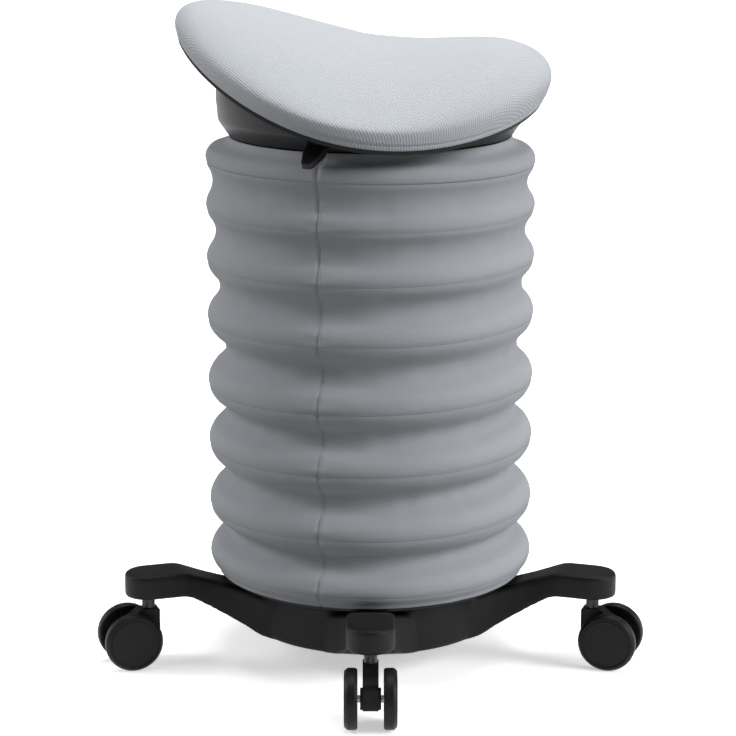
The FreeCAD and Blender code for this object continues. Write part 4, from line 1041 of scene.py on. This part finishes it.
    def build(self, finishes: Finishes) -> list[bpy.types.Object]:
        """Makes the strips between the hoops' heights, the lowest riding on the base.

        Args:
            finishes: The stool's finishes.

        Returns:
            The new pieces.
        """
        pieces = []
        for index in range(HOOP_COUNT + 1):
            piece = to_piece(self.strip(index), f"sleeve_strip_{index + 1}", finishes["sleeve_fabric"])
            wall = piece.modifiers.new("cloth_wall", "SOLIDIFY")
            wall.thickness = self.cloth
            wall.offset = -1.0
            apply_modifiers(piece)
            if index == 0:
                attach(piece, "base")
            else:
                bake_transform(piece)
            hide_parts("fabric_sleeve")
            pieces.append(piece)
        return pieces


@dataclass
class HeightLever:
    """The handle on the lever's bar, a tapered paddle that droops over the sleeve."""

    half_width: float = 0.0088
    half_height: float = 0.0046
    top_drop: float = 0.0048
    tip_rise: float = 0.0042

    def build(self, finishes: Finishes) -> list[bpy.types.Object]:
        """Makes the handle in place of the plain one.

        Args:
            finishes: The stool's finishes.

        Returns:
            The new pieces.
        """
        start, tip = self.ends()
        along = tip - start
        run = along.length
        shape = bmesh.new()
        bmesh.ops.create_cube(shape, size=1.0)
        bmesh.ops.subdivide_edges(shape, edges=shape.edges, cuts=5, use_grid_fill=True)
        for vert in shape.verts:
            share = vert.co.x + 0.5
            taper = 1 - 0.5 * share ** 1.6
            vert.co = Vector((share * run, vert.co.y * 2 * self.half_width * taper,
                              vert.co.z * 2 * self.half_height * (1 - 0.35 * share)))
        bmesh.ops.smooth_vert(shape, verts=shape.verts, factor=0.35,
                              use_axis_x=True, use_axis_y=True, use_axis_z=True)
        forward = along.normalized()
        side = Vector((0, 0, 1)).cross(forward).normalized()
        rise = forward.cross(side)
        turn = Matrix((forward, side, rise)).transposed().to_4x4()
        bmesh.ops.transform(shape, matrix=Matrix.Translation(start) @ turn, verts=shape.verts)
        piece = to_piece(shape, "lever_paddle", finishes["black_nylon"])
        smooth = piece.modifiers.new("soft_edges", "SUBSURF")
        smooth.levels = smooth.render_levels = 2
        apply_modifiers(piece)
        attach(piece, "lever")
        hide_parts("lever_handle")
        return [piece]

    def ends(self) -> tuple[Vector, Vector]:
        """Middle of the handle's inner end and of its tip, from the plain handle's box."""
        low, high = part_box("lever_handle")
        corners = [Vector(v.co) for v in frame["nodes"]["lever_handle"].data.vertices]
        reach = sorted(corners, key=lambda co: math.hypot(co.x, co.y))
        near, far = reach[:6], reach[-6:]
        start = sum(near, Vector()) / len(near)
        tip = sum(far, Vector()) / len(far)
        heading = math.atan2(tip.y, tip.x)
        inner = math.hypot(start.x, start.y)
        outer = math.hypot(tip.x, tip.y)
        start = Vector((inner * math.cos(heading), inner * math.sin(heading), high.z - self.top_drop))
        tip = Vector((outer * math.cos(heading), outer * math.sin(heading), low.z + self.tip_rise))
        return start, tip


class WheelSide(Enum):
    """The two wheels of a castor, with the side of the axle that each is on."""

    A = 1
    B = -1


@dataclass
class Castors:
    """The five twin-wheel castors."""

    radius: float = 0.0250
    inner_face: float = 0.01065
    width: float = 0.0110
    steps: int = 72

    def wheel(self) -> bmesh.types.BMesh:
        """One wheel about the Z axis, its outer face up: tread, sunk side disc and hub cap."""
        inner, outer = self.inner_face, self.inner_face + self.width
        corners = [
            (0.0, outer, 0.0),
            (0.0, inner + 0.0002, 0.0),
            (0.0070, inner + 0.0002, 0.0004),
            (0.0070, inner + 0.0030, 0.0006),
            (0.0205, inner + 0.0034, 0.0012),
            (0.0212, inner, 0.0004),
            (self.radius - 0.0008, inner, 0.0010),
            (self.radius, inner + 0.0025, 0.0012),
            (self.radius, outer - 0.0030, 0.0020),
            (self.radius - 0.0024, outer - 0.0002, 0.0014),
            (0.0212, outer - 0.0001, 0.0004),
            (0.0209, outer - 0.0005, 0.0003),
            (0.0204, outer - 0.0005, 0.0003),
            (0.0201, outer, 0.0004),
        ]
        return spun_profile(rounded_profile(corners), self.steps)

    def build(self, finishes: Finishes) -> list[bpy.types.Object]:
        """Makes the ten wheels.

        Args:
            finishes: The stool's finishes.

        Returns:
            The new pieces.
        """
        pieces = []
        for number in range(1, ARM_COUNT + 1):
            axle = centre_of(f"castor_{number}_axle")
            wheel_a, wheel_b = centre_of(f"castor_{number}_wheel_a"), centre_of(f"castor_{number}_wheel_b")
            across = (wheel_a - wheel_b).normalized()
            for side in WheelSide:
                letter = side.name.lower()
                axis = across * side.value
                turn = axis.to_track_quat("Z", "Y").to_matrix().to_4x4()
                shape = self.wheel()
                bmesh.ops.transform(shape, matrix=Matrix.Translation(axle) @ turn, verts=shape.verts)
                piece = to_piece(shape, f"castor_{number}_tyre_{letter}", finishes["wheel_plastic"])
                sharpen(piece, TREAD_ANGLE)
                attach(piece, f"wheel_{number}{letter}")
                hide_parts(f"castor_{number}_wheel_{letter}")
                pieces.append(piece)
        return pieces


@dataclass
class Studio:
    """Floor, light and camera."""

    camera_x: float = -0.0021
    distance: float = 2.079
    height: float = 0.731
    pitch: float = math.radians(13.08)
    focal_px: float = 2446.0
    image_px: float = 736.0
    sensor: float = 36.0
    floor_radius: float = 14.0
    world_strength: float = 0.27

    def camera(self) -> None:
        """Sets the camera at the photograph's angle."""
        data = bpy.data.cameras.new("camera")
        data.sensor_width = self.sensor
        data.lens = self.focal_px / self.image_px * self.sensor
        piece = bpy.data.objects.new("camera", data)
        bpy.context.scene.collection.objects.link(piece)
        piece.location = (self.camera_x, -self.distance, self.height)
        piece.rotation_euler = (math.pi / 2 - self.pitch, 0.0, 0.0)
        bpy.context.scene.camera = piece

    def floor(self) -> None:
        """Lays a plain pale floor."""
        shape = bmesh.new()
        bmesh.ops.create_circle(shape, cap_ends=True, segments=96, radius=self.floor_radius)
        piece = to_piece(shape, "floor", StudioPaint().material())
        piece.visible_diffuse = False

    def wall(self) -> None:
        """Stands a white wall round the floor, which gives and stops no light."""
        shape = bmesh.new()
        bmesh.ops.create_cone(shape, cap_ends=False, segments=96, radius1=self.floor_radius,
                              radius2=self.floor_radius, depth=self.floor_radius)
        piece = to_piece(shape, "wall", StudioPaint("studio_wall", 1.0).material())
        piece.visible_diffuse = piece.visible_glossy = piece.visible_shadow = False

    @staticmethod
    def sun(name: str, azimuth: float, elevation: float, strength: float, softness: float) -> None:
        """Hangs one wide soft light, far away.

        Args:
            name: The light's name.
            azimuth: Where it stands about the stool, in degrees from +X.
            elevation: Its height over the floor in degrees.
            strength: Its strength.
            softness: The angle that it fills, in degrees.
        """
        data = bpy.data.lights.new(name, "SUN")
        data.energy = strength
        data.angle = math.radians(softness)
        piece = bpy.data.objects.new(name, data)
        bpy.context.scene.collection.objects.link(piece)
        turn, rise = math.radians(azimuth), math.radians(elevation)
        way = Vector((math.cos(turn) * math.cos(rise), math.sin(turn) * math.cos(rise), math.sin(rise)))
        piece.location = way * 3
        piece.rotation_mode = "QUATERNION"
        piece.rotation_quaternion = (-way).to_track_quat("-Z", "Y")

    def build(self) -> None:
        """Sets up the whole studio."""
        world = bpy.data.worlds.new("studio")
        world.use_nodes = True
        background = world.node_tree.nodes["Background"]
        background.inputs["Color"].default_value = WHITE
        background.inputs["Strength"].default_value = self.world_strength
        bpy.context.scene.world = world
        bpy.context.scene.view_settings.view_transform = "Standard"
        self.floor()
        self.wall()
        self.camera()
        self.sun("right_sun", azimuth=-16.0, elevation=28.0, strength=2.4, softness=28.0)
        self.sun("top_sun", azimuth=70.0, elevation=80.0, strength=1.8, softness=34.0)
        self.sun("left_sun", azimuth=172.0, elevation=30.0, strength=1.2, softness=20.0)


# Carried-over parts

def dress_frame(finishes: Finishes) -> None:
    """Gives every carried-over part its finish, and smooths its curved faces.

    Args:
        finishes: The stool's finishes.
    """
    slots = {entry["node"]: entry["material_slot"] for entry in frame["record"]["subparts"]}
    blackened = {"castor_stems": finishes["painted_steel"]}
    for name, node in frame["nodes"].items():
        node.data.materials.clear()
        node.data.materials.append(blackened.get(name, finishes[slots[name]]))
        node.data.polygons.foreach_set("use_smooth", [True] * len(node.data.polygons))
        if name in MOULDED_SOFT:
            remesh = node.modifiers.new("one_moulding", "REMESH")
            remesh.mode = "VOXEL"
            remesh.voxel_size = MOULDED_SOFT[name]
            remesh.use_smooth_shade = True
            soften = node.modifiers.new("moulded_edges", "SMOOTH")
            soften.factor = 0.5
            soften.iterations = SOFTENING_PASSES
            continue
        weld = node.modifiers.new("weld", "WELD")
        weld.merge_threshold = WELD_DISTANCE
        split = node.modifiers.new("crisp_edges", "EDGE_SPLIT")
        split.split_angle = CRISP_ANGLE


def main() -> None:
    """Builds the stool's looks on its frame."""
    logging.basicConfig(level=logging.INFO, format="%(message)s")
    finishes = Finishes()
    dress_frame(finishes)
    builders: list[tuple[str, Callable[[Finishes], list[bpy.types.Object]]]] = [
        ("seat", SaddleSeat().build),
        ("sleeve", BellowsSleeve().build),
        ("lever", HeightLever().build),
        ("castors", Castors().build),
    ]
    for title, build in builders:
        for piece in build(finishes):
            LOG.info("%s: %s, %d faces", title, piece.name, len(piece.data.polygons))
    Studio().build()


if __name__ == "__main__":
    main()
